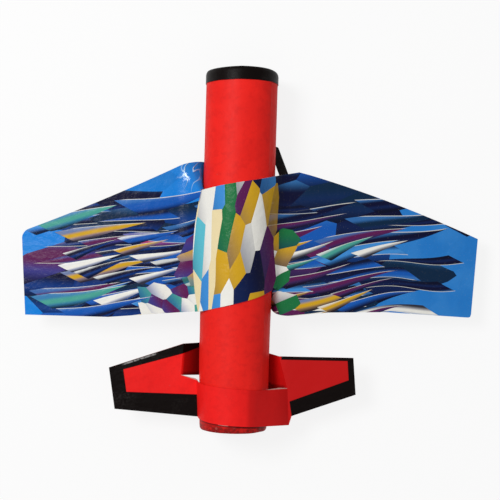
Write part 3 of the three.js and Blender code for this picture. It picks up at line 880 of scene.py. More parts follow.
class Sheet:
    """A thin card: patches of its middle surface, welded and thickened both ways."""

    def __init__(self) -> None:
        """Start with no patch."""
        self._mesh = bmesh.new()
        self._flat = self._mesh.loops.layers.uv.new("flat")

    def _face(self, corners: Sequence[tuple[np.ndarray, np.ndarray]]) -> None:
        """Add one face of corners that are a point and its place on the flat card, in millimetres.

        Args:
            corners: The pairs, against the clock seen from above.
        """
        verts = [self._mesh.verts.new(point * MM) for point, _ in corners]
        for loop, (_, flat) in zip(self._mesh.faces.new(verts).loops, corners):
            loop[self._flat].uv = flat / 10

    def grid(self, points: np.ndarray, flat: np.ndarray | None = None) -> None:
        """Add rows of points that follow one another to the left of their run.

        Args:
            points: Rows of points, in millimetres.
            flat: Where they lie on the flat card; the view from above if it isn't given.
        """
        flat = points[..., :2] if flat is None else flat
        for j in range(points.shape[0] - 1):
            for i in range(points.shape[1] - 1):
                ring = [(j, i), (j, i + 1), (j + 1, i + 1), (j + 1, i)]
                self._face([(points[at], flat[at]) for at in ring])

    def level(self, outline: Sequence[np.ndarray]) -> None:
        """Add a level polygon, its corners in order against the clock seen from above."""
        self._face([(corner, corner[:2]) for corner in outline])

    def piece(self, name: str, thickness: float, materials: Sequence[bpy.types.Material]) -> bpy.types.Object:
        """Weld and thicken the patches.

        Args:
            name: The piece's name.
            thickness: In millimetres.
            materials: Those of the upper side, the lower side and the cut edge.

        Returns:
            The new object.
        """
        bmesh.ops.remove_doubles(self._mesh, verts=self._mesh.verts, dist=WELD)
        bmesh.ops.dissolve_degenerate(self._mesh, edges=self._mesh.edges, dist=WELD)
        mesh = bpy.data.meshes.new(name)
        self._mesh.to_mesh(mesh)
        self._mesh.free()
        piece = bpy.data.objects.new(name, mesh)
        bpy.context.scene.collection.objects.link(piece)
        for material in materials:
            mesh.materials.append(material)
        card = piece.modifiers.new("thickness", "SOLIDIFY")
        card.thickness = thickness * MM
        card.offset = 0
        card.use_even_offset = True
        card.material_offset = 1
        card.material_offset_rim = 2
        depsgraph = bpy.context.evaluated_depsgraph_get()
        piece.data = bpy.data.meshes.new_from_object(piece.evaluated_get(depsgraph))
        piece.modifiers.clear()
        bpy.data.meshes.remove(mesh)
        smooth(piece)
        return piece


def smooth(piece: bpy.types.Object, angle: float = 28.0) -> None:
    """Shade a piece smooth, apart from edges sharper than an angle in degrees."""
    piece.data.shade_smooth()
    piece.data.set_sharp_from_angle(angle=math.radians(angle))


def sleeve(name: str, angles: np.ndarray, rings: Sequence[Callable[[float], tuple[float, float]]],
           centre: tuple[float, float], material: bpy.types.Material) -> bpy.types.Object:
    """A wrapped sleeve, closed round the tube and through its wall.

    Args:
        name: The piece's name.
        angles: The steps round the tube, from its top towards the right.
        rings: For each step along the skin, what gives the radius and the place along the tube.
        centre: The tube's axis, across and up.
        material: Its finish.

    Returns:
        The new object.
    """
    shape = bmesh.new()
    rows = []
    for ring in rings:
        row = []
        for angle in angles:
            radius, along = ring(float(angle))
            across, up = centre[0] + radius * math.sin(angle), centre[1] + radius * math.cos(angle)
            row.append(shape.verts.new((across * MM, along * MM, up * MM)))
        rows.append(row)
    for k, row in enumerate(rows):
        beyond = rows[(k + 1) % len(rows)]
        for m in range(len(angles)):
            n = (m + 1) % len(angles)
            shape.faces.new((row[m], beyond[m], beyond[n], row[n]))
    mesh = bpy.data.meshes.new(name)
    shape.to_mesh(mesh)
    shape.free()
    mesh.materials.append(material)
    piece = bpy.data.objects.new(name, mesh)
    bpy.context.scene.collection.objects.link(piece)
    smooth(piece, 40)
    return piece


def hand_over(piece: bpy.types.Object, body: Body, slot: str, *nodes: str) -> None:
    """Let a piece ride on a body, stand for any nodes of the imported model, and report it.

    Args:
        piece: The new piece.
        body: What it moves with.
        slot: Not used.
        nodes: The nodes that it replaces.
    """
    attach(piece, body.value)
    if nodes:
        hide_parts(*nodes)
    log.info("%s rides on %s and stands for %s", piece.name, body.value, ", ".join(nodes) or "no node")


def dress(node: str, material: bpy.types.Material) -> None:
    """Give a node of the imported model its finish.

    Args:
        node: The node's name.
        material: The finish.
    """
    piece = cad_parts[node]
    piece.data.materials.clear()
    piece.data.materials.append(material)
    smooth(piece)
    log.info("%s keeps its own mesh, in %s", node, material.name)


# The glider


@dataclass
class Tube:
    """The board tube, its red paper and the tape over its nose rim."""

    length: float = 226
    diameter: float = 45
    paper: float = 0.15
    glue: float = 0.05
    wall: float = 0.9
    lap_width: float = 12
    lap_angle: float = 56
    lap_step: float = 0.3
    lap_ramp: float = 3
    pressed_length: float = 20
    pressed_side: float = 0.3
    pressed_top: float = 1.6
    slim: float = 0.4
    slim_run: tuple[float, float] = (20, 60)
    dent: float = 1.2
    dent_run: tuple[float, float] = (66, 101)
    nose_slant: float = 1.2
    tail_slant: float = 0.3
    slant_length: float = 14
    curl: float = 0.35
    curl_length: float = 1.8
    tape_outside: float = 8.3
    tape_inside: float = 6
    tape_thickness: float = 0.2
    tape_fold: float = 0.2
    rim_length: float = 3.2
    rim_depth: float = 1.3
    board_set_back: float = 4.5
    tape_skew: float = 0.3
    tape_dent: float = 0.06
    inner_run: float = 3
    hair: float = 0.02
    paper_wave: float = 0.05
    loose: float = 0.25
    ragged: float = 0.45
    facets: int = 216
    x0: float = -8.1
    axis: float = 23.25

    @property
    def radius(self) -> float:
        """Half the width over the paper."""
        return self.diameter / 2

    @property
    def lap_radius(self) -> float:
        """The radius over the lap of the paper."""
        return self.radius + self.paper

    @property
    def core_radius(self) -> float:
        """The radius of the board."""
        return self.radius - self.paper - self.glue

    @property
    def end(self) -> float:
        """Half the length."""
        return self.length / 2

    def pressed(self, along: float, angle: float) -> float:
        """How far the wall is pressed in at the tail end, under the strap on the left and along its sides.

        Args:
            along: The place along the tube.
            angle: The place round it.

        Returns:
            The depth.
        """
        share = max((self.pressed_length - self.end - along) / self.pressed_length, 0)
        side, top = math.sin(angle), max(math.cos(angle), 0)
        end = (self.pressed_side + self.pressed_top * top) * share ** 1.6
        slim = self.slim * float(ease(-along, *self.slim_run)) * side ** 2
        return end + slim + self.dent * float(ease(-along, *self.dent_run)) * max(-side, 0) ** 1.5

    def cut(self, along: float, angle: float) -> float:
        """Where a ring's point lies along the tube, whose ends were cut by eye.

        Args:
            along: The ring's place along the tube.
            angle: The point's place round it.

        Returns:
            The point's place along the tube.
        """
        side = math.sin(angle)
        nose = float(ease(along, self.end - self.slant_length, self.end)) * self.nose_slant
        tail = float(ease(-along, self.end - self.slant_length, self.end)) * self.tail_slant
        return along - nose * (-side if side < 0 else side ** 6) + tail * max(side, 0)

    def drawn_in(self, along: float) -> float:
        """How far the wall is drawn in where it rounds over at the nose."""
        share = min(max((along - self.end + self.rim_length) / self.rim_length, 0), 1)
        return self.rim_depth * (1 - math.sqrt(1 - share * share))

    def board(self, finishes: Finishes) -> bpy.types.Object:
        """The spiral wound board.

        Args:
            finishes: The materials.

        Returns:
            The new object.
        """
        front, rear = self.end - self.tape_thickness - self.glue, self.board_set_back - self.end
        stops = [
            *np.linspace(front, self.end - self.rim_length, 8),
            *np.linspace(self.end - 4, rear + 16, 12), *np.linspace(rear + 15, rear, 14),
        ]

        def skin(along: float, radius: float, drawn: float) -> Callable[[float], tuple[float, float]]:
            """One ring of the outer or the inner skin."""
            return lambda angle: (radius - self.pressed(along, angle) - drawn, self.cut(along, angle))

        rings = [skin(along, self.core_radius, self.drawn_in(along)) for along in stops]
        rings += [skin(along, self.core_radius - self.wall, 0) for along in reversed(stops)]
        angles = np.linspace(0, 2 * math.pi, self.facets, endpoint=False)
        return sleeve("tube_board", angles, rings, (self.x0, self.axis), finishes.wound_board)

    def cover(self, finishes: Finishes) -> bpy.types.Object:
        """The red paper, lapped along one side and scruffy where it curls in at the tail.

        Args:
            finishes: The materials.

        Returns:
            The new object.
        """
        lap_end = math.radians(self.lap_angle)
        lap_start = lap_end - self.lap_width / self.radius
        lap = np.linspace(lap_start, lap_end, 16)
        rest = np.linspace(
            lap_end + self.lap_step / self.radius,
            lap_start - self.lap_ramp / self.radius + 2 * math.pi, self.facets,
        )
        angles = np.concatenate([lap, rest])
        front = self.end - self.tape_thickness - self.glue - 1
        curl_from = -self.end + self.curl_length

        def skin(along: float, outer: bool, curled: float = 0) -> Callable[[float], tuple[float, float]]:
            """One ring of the paper's outer or inner skin.

            Args:
                along: Its place along the tube.
                outer: Whether it is on the outer skin.
                curled: How far it is curled in.

            Returns:
                What gives the radius and the place along the tube at an angle.
            """
            def ring(angle: float) -> tuple[float, float]:
                """The radius of the paper at an angle, and the place along the tube.

                Args:
                    angle: The angle, from the tube's top towards the right.

                Returns:
                    The two of them.
                """
                over = self.lap_radius if angle <= lap_end + 1e-9 else self.radius
                base = over if outer else self.core_radius + self.glue
                loose = float(ease(-along, self.end - self.board_set_back, self.end))
                crumple = wander(math.cos(angle) * 22 + 90, math.sin(angle) * 22 + along, 8, 4.0)
                wave = wander(math.cos(angle) * 22, math.sin(angle) * 22 + along * 0.4, 14, 1.0)
                radius = base - self.pressed(along, angle) - curled - loose * self.loose * (1 + crumple)
                radius -= self.drawn_in(along)
                push = (1 + crumple) * self.ragged * curled
                return radius + (self.paper_wave * wave if outer else 0), self.cut(along, angle) + push
            return ring

        pressed_from = -self.end + self.pressed_length
        outer = [
            *np.linspace(front, front - 3, 6), *np.linspace(front - 4, pressed_from, 34),
            *np.linspace(pressed_from, curl_from, 22)[1:],
        ]
        shares = (0.3, 0.6, 0.85, 1)
        ends = [(curl_from - self.curl_length * share, self.curl * share ** 2) for share in shares]
        rings = [skin(along, True) for along in outer]
        rings += [skin(along, True, curled) for along, curled in ends]
        rings += [skin(along, False, curled) for along, curled in reversed(ends)]
        rings += [skin(along, False) for along in reversed(outer)]
        return sleeve("red_paper_cover", angles, rings, (self.x0, self.axis), finishes.red_paper)

    def rim(self, finishes: Finishes) -> bpy.types.Object:
        """The tape folded over the nose rim, its rear edge a little skewed.

        Args:
            finishes: The materials.

        Returns:
            The new object.
        """
        outer = self.lap_radius + self.glue
        inner = self.core_radius - self.wall - self.glue
        under = self.end - self.tape_thickness
        outer_skin, inner_skin = outer + self.tape_thickness, inner - self.tape_thickness

        def at(radius: float, along: float, skewed: float = 0,
               rough: float = 0) -> Callable[[float], tuple[float, float]]:
            """One ring of the tape.

            Args:
                radius: Its radius.
                along: Its place along the tube.
                skewed: How far it is moved along the tube, ahead on the right.
                rough: How deep its dents are.

            Returns:
                What gives the radius and the place along the tube at an angle.
            """
            def ring(angle: float) -> tuple[float, float]:
                """The radius of the tape at an angle, and the place along the tube.

                Args:
                    angle: The angle, from the tube's top towards the right.

                Returns:
                    The two of them.
                """
                wave = wander(math.cos(angle) * 20, math.sin(angle) * 20, 9, 7.0)
                dent = wander(math.cos(angle) * 20, math.sin(angle) * 20 + along, 5, 2.0)
                there = self.cut(along, angle) + skewed * (math.sin(angle) + 0.8 * wave)
                return radius - rough * (0.5 + 0.5 * dent), there
            return ring

        rings = [
            at(inner_skin, self.end - self.tape_inside, self.tape_skew),
            at(inner - self.hair, self.end - self.tape_inside, self.tape_skew),
            at(inner - self.hair, self.end - self.inner_run),
            at(inner_skin + self.hair, under - 0.3),
            at(inner_skin + self.hair, under),
            at(self.core_radius - 0.6, under),
            at(outer - self.drawn_in(under - 1), under - 1),
            at(outer, self.end - self.rim_length),
            at(outer, self.end - self.tape_outside, self.tape_skew),
            at(outer_skin, self.end - self.tape_outside, self.tape_skew),
            at(outer_skin, self.end - self.tape_outside + 1.5, self.tape_skew, self.tape_dent),
            at(outer_skin, self.end - self.rim_length - 0.6, 0.1, self.tape_dent),
        ]
        for turn in np.linspace(0, math.pi / 2, 12):
            along = self.end - self.rim_length * (1 - math.sin(turn))
            rings.append(at(outer_skin - self.drawn_in(along), along, 0, self.tape_dent / 2))
        rings += [
            at(inner_skin + self.tape_fold, self.end),
            at(inner_skin, self.end - self.tape_fold),
            at(inner_skin, self.end - self.inner_run),
        ]
        angles = np.linspace(0, 2 * math.pi, self.facets, endpoint=False)
        return sleeve("nose_rim_tape", angles, rings, (self.x0, self.axis), finishes.black_tape)

    def build(self, finishes: Finishes) -> None:
        """Make the tube's pieces.

        Args:
            finishes: The materials.
        """
        hand_over(self.cover(finishes), Body.FUSELAGE, "red_paper", "tube_cover")
        hand_over(self.rim(finishes), Body.FUSELAGE, "black_tape", "nose_tape")
        hand_over(self.board(finishes), Body.FUSELAGE, "tube_board", "tube_core")


@dataclass(frozen=True)
class Section:
    """One side of the wing's section: off the tube, round a bend to level, and drooping."""

    leave: float
    bend: float
    rise: float
    wrap: float
    droop: float = 900

    @property
    def centre(self) -> float:
        """How far out the middle of the bend is."""
        turn = math.radians(self.leave)
        return (self.wrap + self.bend - math.cos(turn) * (self.rise + self.bend)) / math.sin(turn)

    def height(self, reach: float, drop: float = 0) -> float:
        """The height at a reach.

        Args:
            reach: The distance out from the tube's axis.
            drop: How far below the upper card this one lies.

        Returns:
            The height over the axis.
        """
        turn, radius, past = math.radians(self.leave), self.bend + drop, reach - self.centre
        if past > 0:
            return self.rise - drop - self.droop + math.sqrt(self.droop ** 2 - past ** 2)
        if -past < radius * math.sin(turn):
            return self.rise + self.bend - math.sqrt(radius ** 2 - past ** 2)
        if reach > self.wrap * math.sin(turn) or drop > 0:
            return (self.wrap - drop - reach * math.sin(turn)) / math.cos(turn)
        return math.sqrt(self.wrap ** 2 - reach ** 2)


@dataclass(frozen=True)
class TongueEdge:
    """How one edge of a tongue runs on round the tube."""

    sweep: float
    drift: float
    power: float
    hump: float = 0


@dataclass
class Wing:
    """The two printed cards, woven over and under the tube, and the black brace."""

    thickness: float = 0.4
    layer: float = 0.45
    wrap: float = 23.05
    datum: float = -39.2
    tongue_end: float = -128
    tongue_round: float = 8
    cap_turn: float = 78

    left_reach: float = 136.4
    left_tip: tuple[float, float] = (43.24, -5.5)
    left_rake: float = 3.5
    left_corner: float = 4
    left_shoulder: tuple[float, float] = (37.75, 91.1)
    left_bow: float = -1.4
    left_root_lead: float = 1.1
    left_kink: tuple[float, float] = (80, -5.2)
    left_slit: float = 24.65
    left_fine: float = 44
    left_tongue: tuple[TongueEdge, TongueEdge] = (
        TongueEdge(0.8, 0.06, 1), TongueEdge(3.2, -0.14, 0.75, 1.0),
    )

    right_reach: float = 152.6
    right_tip: tuple[float, float] = (50.7, 0.6)
    right_rake: float = 3.1
    right_clip: tuple[tuple[float, float], ...] = ((-1.8, 0.05), (-0.5, 0.45), (0.06, 2.2))
    right_shoulder: tuple[float, float] = (43.85, 87.8)
    right_bow: float = 2.0
    right_root_lead: float = -1.2
    right_inner: tuple[float, float] = (58, 1.6)
    right_outer: tuple[float, float] = (95, 2.85)
    right_slit: tuple[float, float] = (26.15, 16.7)
    right_bend: float = 36.05
    right_fine: float = 46
    right_tongue: tuple[TongueEdge, TongueEdge] = (
        TongueEdge(-2.6, 0.24, 1), TongueEdge(5.6, 0.22, 3.4),
    )

    band_end: float = 27.45
    band_bulge: float = 4.4
    band_leads: tuple[float, float] = (0.1, 75.9)
    band_front: tuple[float, float] = (37.65, 89.2)
    rear_sag: float = 1.2
    brace_width: float = 5.6
    brace_thickness: float = 1
    brace_pad: float = 24
    brace_arm: float = 30
    brace_bend: tuple[float, float] = (28.25, 86.6)
    brace_turn: float = 19
    brace_dip: float = 46
    brace_gap: float = 0.3
    ripple: float = 0.5
    ripple_size: float = 42
    ripple_run: tuple[float, float] = (52, 100)
    rows: int = 17

    def __post_init__(self) -> None:
        """Work out the section and the run along it."""
        self.sides = {
            Side.LEFT: Section(leave=39, bend=18, rise=3 + self.layer, wrap=self.wrap),
            Side.RIGHT: Section(leave=50, bend=8, rise=2.5, wrap=self.wrap),
        }
        xs = np.linspace(-60, self.right_reach, 2200)
        steps = np.hypot(np.diff(xs), np.diff([self.band_height(x) for x in xs]))
        run = np.concatenate([[0], np.cumsum(steps)])
        self._run = (xs, run - np.interp(0, xs, run))
        outs = np.linspace(0, self.left_reach, 1600)
        heights = [self.sides[Side.LEFT].height(out, self.layer) for out in outs]
        steps = np.hypot(np.diff(outs), np.diff(heights))
        self._left_run = (outs, np.concatenate([[0], np.cumsum(steps)]))

    def band_height(self, x: float) -> float:
        """The height of the upper card at a place across the span."""
        return self.sides[Side.LEFT if x < 0 else Side.RIGHT].height(abs(x))

    def run(self, x: Any) -> Any:
        """How far along the card a place across the span is."""
        return np.interp(x, *self._run)

    def wave(self, x: float, lead: float, seed: float) -> float:
        """The small waves of a hand held card, none near the tube."""
        return self.ripple * float(ease(abs(x), *self.ripple_run)) * wander(x, lead, self.ripple_size, seed)

    def right_front_edge(self, x: float) -> float:
        """The lead of the right card's front edge.

        Args:
            x: The place across the span.

        Returns:
            The lead.
        """
        corner = self.band_bulge - self.band_end
        if x < corner:
            return sum(self.band_leads) / 2 + self._end_arch(x)
        if x < self.band_front[0]:
            share = (self.run(x) - self.run(corner)) / (self.run(self.band_front[0]) - self.run(corner))
            return self.band_leads[1] + (self.band_front[1] - self.band_leads[1]) * share
        out = (x - self.right_shoulder[0]) / (self.right_reach - self.right_shoulder[0])
        line = [self.band_front, self.right_shoulder, (self.right_reach, self.right_tip[0])]
        return self.right_bow * arch(max(out, 0)) + float(np.interp(x, *zip(*line)))

    def right_rear_edge(self, x: float) -> float:
        """The lead of the right card's rear edge.

        Args:
            x: The place across the span.

        Returns:
            The lead.
        """
        corner = self.band_bulge - self.band_end
        if x < corner:
            return sum(self.band_leads) / 2 - self._end_arch(x)
        if x < self.right_slit[0]:
            share = (self.run(x) - self.run(corner)) / (self.run(self.right_slit[0]) - self.run(corner))
            straight = self.band_leads[0] + (self.right_slit[1] - self.band_leads[0]) * share
            return straight - self.rear_sag * arch(share)
        line = [
            self.right_slit, (self.right_bend, self.right_root_lead), self.right_inner, self.right_outer,
            *self._right_corner(), (self.right_reach, self.right_tip[0]),
        ]
        return float(np.interp(x, *zip(*line)))

    def _right_corner(self) -> list[tuple[float, float]]:
        """The points of the right card's rear corner, clipped round."""
        corner = self.right_reach - self.right_rake
        return [(corner + out, self.right_tip[1] + lead) for out, lead in self.right_clip]

    def _end_arch(self, x: float) -> float:
        """Half the width of the band's rounded end."""
        half = (self.band_leads[1] - self.band_leads[0]) / 2
        return half * math.sqrt(max(x + self.band_end, 0) / self.band_bulge)

    def left_front_edge(self, out: float) -> float:
        """The lead of the left card's front edge.

        Args:
            out: The distance out from the tube's axis.

        Returns:
            The lead.
        """
        tip = self.left_reach - self.left_corner
        share = min(max((out - self.left_shoulder[0]) / (self.left_reach - self.left_shoulder[0]), 0), 1)
        line = [
            (0, self.band_leads[1]), (self.left_slit, self.band_leads[1]), self.left_shoulder,
            (self.left_reach, self.left_tip[0] + self.left_corner),
        ]
        turn = min(max((out - tip) / self.left_corner, 0), 1)
        rounded = self.left_corner * (1 - math.sqrt(1 - turn * turn))
        return self.left_bow * arch(share) + float(np.interp(out, *zip(*line))) - rounded

    def left_rear_edge(self, out: float) -> float:
        """The lead of the left card's rear edge.

        Args:
            out: The distance out from the tube's axis.

        Returns:
            The lead.
        """
        line = [
            (self.left_root, self.left_root_lead), (self.left_slit, self.band_leads[0]), self.left_kink,
            (self.left_reach - self.left_rake, self.left_tip[1]), (self.left_reach, self.left_tip[0]),
        ]
        return float(np.interp(out, *zip(*line)))

    @property
    def left_root(self) -> float:
        """Where the left card ends under the band, against the tube.

        Returns:
            The distance out from the tube's axis.
        """
        turn = math.radians(self.sides[Side.LEFT].leave)
        lowest = self.wrap - self.layer - self.thickness / 2
        half = math.sqrt(self.wrap ** 2 - lowest ** 2)
        return (self.wrap - self.layer) * math.sin(turn) + half * math.cos(turn)

    def place(self, x: float, lead: float, height: float) -> np.ndarray:
        """A point of the wing in the frame, in millimetres."""
        return np.array([Tube.x0 + x, self.datum + lead, Tube.axis + height])

    def tongue(self, sheet: Sheet, side: Side, line: Sequence[tuple[float, float, float, float]],
               inner: TongueEdge, outer: TongueEdge) -> None:
        """Add a tongue that bends off a line, meets the tube and runs on round under it.

        Args:
            sheet: The card it belongs to.
            side: Which side of the tube it is on.
            line: The bend line from the slit outwards: reach, lead, height and run.
            inner: Its edge at the slit.
            outer: Its other edge.
        """
        paths = []
        for reach, _, height, _ in line:
            bend = (reach ** 2 + height ** 2 - self.wrap ** 2) / (2 * (self.wrap + height))
            contact = math.atan2(height - bend, reach)
            whole = math.pi / 2 + contact
            stops = []
            for share in np.linspace(0, 1, 14):
                turned = whole * share
                up = height - bend + bend * math.cos(turned)
                stops.append((reach - bend * math.sin(turned), up, share, 0, 1, bend * whole * share))
            end = math.radians(self.tongue_end)
            tail = [(angle, 1.0) for angle in np.linspace(contact, end, 52)[1:]]
            half = self.tongue_round / 2
            for turn in np.radians(np.linspace(0, self.cap_turn, 10)[1:]):
                tail.append((end - half / self.wrap * math.sin(turn), math.cos(turn)))
            for angle, narrow in tail:
                gone, out = self.wrap * (contact - angle), self.wrap * math.cos(angle)
                stops.append((out, self.wrap * math.sin(angle), 1, gone, narrow, bend * whole + gone))
            paths.append(stops)
        first, last = line[0][1], line[-1][1]
        rows, flats = [], []
        for (_, lead, _, run), path in zip(line, paths):
            row, flat = [], []
            for index, (reach, height, _, _, narrow, gone) in enumerate(path):
                across = 0.5 + ((lead - first) / (last - first) - 0.5) * narrow
                ends = []
                for at, edge, start in ((paths[0][index], inner, first), (paths[-1][index], outer, last)):
                    bulge = edge.sweep * at[2] ** edge.power + edge.hump * arch(at[2])
                    ends.append(start + bulge + edge.drift * at[3])
                there = lead if index == 0 else ends[0] + (ends[1] - ends[0]) * across
                row.append(self.place(side.value * reach, there, height))
                flat.append((run - side.value * gone, there))
            rows.append(row)
            flats.append(flat)
        sheet.grid(np.array(rows), np.array(flats))

    def card(self, xs: np.ndarray, rear: Profile, front: Profile, height: Profile, run: Profile,
             seed: float) -> tuple[np.ndarray, np.ndarray]:
        """The points and flat places of a card between two edges.

        Args:
            xs: Places across the span.
            rear: The lead of the rear edge at a place.
            front: The lead of the front edge there.
            height: The card's height there.
            run: How far along the card it is.
            seed: Which waves the card has.

        Returns:
            Rows of points, and where they lie on the flat card.
        """
        rows, flats = [], []
        for share in np.linspace(0, 1, self.rows):
            row, flat = [], []
            for x in xs:
                lead = rear(x) + (front(x) - rear(x)) * share
                row.append(self.place(x, lead, height(x) + self.wave(x, lead, seed)))
                flat.append((run(x), lead))
            rows.append(row)
            flats.append(flat)
        return np.array(rows), np.array(flats)

    def right_card(self, finishes: Finishes) -> bpy.types.Object:
        """The right card: its panel, the band over the tube and the rear tongue under it.

        Args:
            finishes: The materials.

        Returns:
            The new object.
        """
        corner = self.band_bulge - self.band_end
        ends = self.band_bulge * np.linspace(0, 1, 12) ** 2 - self.band_end
        fixed = [
            self.right_slit[0], self.right_bend, self.band_front[0], self.right_shoulder[0],
            self.right_inner[0], self.right_outer[0], *(x for x, _ in self._right_corner()), self.right_reach,
        ]
        near = np.linspace(corner, self.right_fine, 70)
        far = np.linspace(self.right_fine, self.right_reach, 46)
        xs = stations([*ends, corner, *fixed], near, far)
        edges = (self.right_rear_edge, self.right_front_edge)
        points, flat = self.card(xs, *edges, self.band_height, self.run, seed=3.0)
        sheet = Sheet()
        sheet.grid(points, flat)
        line = [(x, self.right_rear_edge(x), self.band_height(x), self.run(x))
                for x in xs if self.right_slit[0] <= x <= self.right_bend]
        self.tongue(sheet, Side.RIGHT, line, *self.right_tongue)
        materials = (finishes.printed_right, finishes.plain_back, finishes.cut_edge)
        return sheet.piece("right_wing_card", self.thickness, materials)

    def left_card(self, finishes: Finishes) -> bpy.types.Object:
        """The left card: its panel, tucked under the band, and the front tongue under the tube.

        Args:
            finishes: The materials.

        Returns:
            The new object.
        """
        rounded = self.left_corner * (1 - np.sin(np.linspace(0, math.pi / 2, 9)))
        fixed = [
            self.left_root, self.left_slit, self.left_shoulder[0], self.left_kink[0],
            self.left_reach - self.left_rake, *(self.left_reach - rounded),
        ]
        near = np.linspace(self.left_root, self.left_fine, 34)
        outs = stations(fixed, near, np.linspace(self.left_fine, self.left_reach, 44))
        section = self.sides[Side.LEFT]

        def height(x: float) -> float:
            """The left card's height at a place across the span."""
            return section.height(-x, self.layer)

        def run(x: float) -> float:
            """How far along the left card the place is."""
            return -float(np.interp(-x, *self._left_run))

        edges = (lambda x: self.left_rear_edge(-x), lambda x: self.left_front_edge(-x))
        points, flat = self.card(-outs[::-1], *edges, height, run, seed=9.0)
        sheet = Sheet()
        sheet.grid(points, flat)
        line = [(out, self.left_front_edge(out), height(-out), run(-out))
                for out in outs if self.left_slit <= out <= self.left_shoulder[0]]
        self.tongue(sheet, Side.LEFT, line, *self.left_tongue)
        materials = (finishes.printed_left, finishes.plain_back, finishes.cut_edge)
        return sheet.piece("left_wing_card", self.thickness, materials)

    def brace(self, finishes: Finishes) -> bpy.types.Object:
        """The strip of stiff black card under the right panel, whose round arm dips beside the tube.

        Args:
            finishes: The materials.

        Returns:
            The new object.
        """
        turn, dip = math.radians(self.brace_turn), math.radians(self.brace_dip)
        half = self.brace_width / 2
        reach, lead = self.brace_bend
        outer = reach + self.brace_pad * math.sin(turn) + self.brace_width
        level = self.band_height(outer) - (self.thickness + self.brace_thickness) / 2 - self.brace_gap
        stops = [(-self.brace_pad, 1.0), (0.0, 1.0)]
        for bent in np.radians(np.linspace(0, self.cap_turn, 14)):
            stops.append((self.brace_arm - half * (1 - math.sin(bent)), math.cos(bent)))
        rows = []
        for side in (-1, 1):
            row = []
            for run, narrow in stops:
                length = run if run < 0 else run * math.cos(dip)
                across = side * narrow * half
                row.append(self.place(
                    reach - math.sin(turn) * length - math.cos(turn) * across,
                    lead + math.cos(turn) * length - math.sin(turn) * across,
                    level - max(run, 0) * math.sin(dip),
                ))
            rows.append(row)
        sheet = Sheet()
        sheet.grid(np.array(rows))
        return sheet.piece("wing_brace_strip", self.brace_thickness, (finishes.black_card,) * 3)

    def build(self, finishes: Finishes) -> None:
        """Make the wing's pieces.

        Args:
            finishes: The materials.
        """
        hand_over(self.right_card(finishes), Body.WING, "printed_card", "wing_right")
        hand_over(self.left_card(finishes), Body.WING, "printed_card", "wing_left")
        hand_over(self.brace(finishes), Body.WING, "black_card", "wing_brace")


def crossing(first: np.ndarray, second: np.ndarray, third: np.ndarray, fourth: np.ndarray) -> np.ndarray:
    """Where the level line through two points meets the one through two others.

    Args:
        first: A point of the first line.
        second: Another one.
        third: A point of the second line.
        fourth: Another one.

    Returns:
        The point where they meet.
    """
    run, other, apart = second - first, fourth - third, third - first
    share = (apart[0] * other[1] - apart[1] * other[0]) / (run[0] * other[1] - run[1] * other[0])
    return first + run * share


def stations(fixed: Sequence[float], *loose: np.ndarray, apart: float = 0.3) -> np.ndarray:
    """Places in order: every fixed one, and each loose one that isn't close beside one of them.

    Args:
        fixed: Places that have to be there.
        *loose: Groups of places that fill up the rest.
        apart: How far a loose place has to be from the others.

    Returns:
        The places.
    """
    kept = sorted(set(fixed))
    for group in loose:
        kept += [place for place in group if all(abs(place - other) > apart for other in kept)]
    return np.array(sorted(kept))


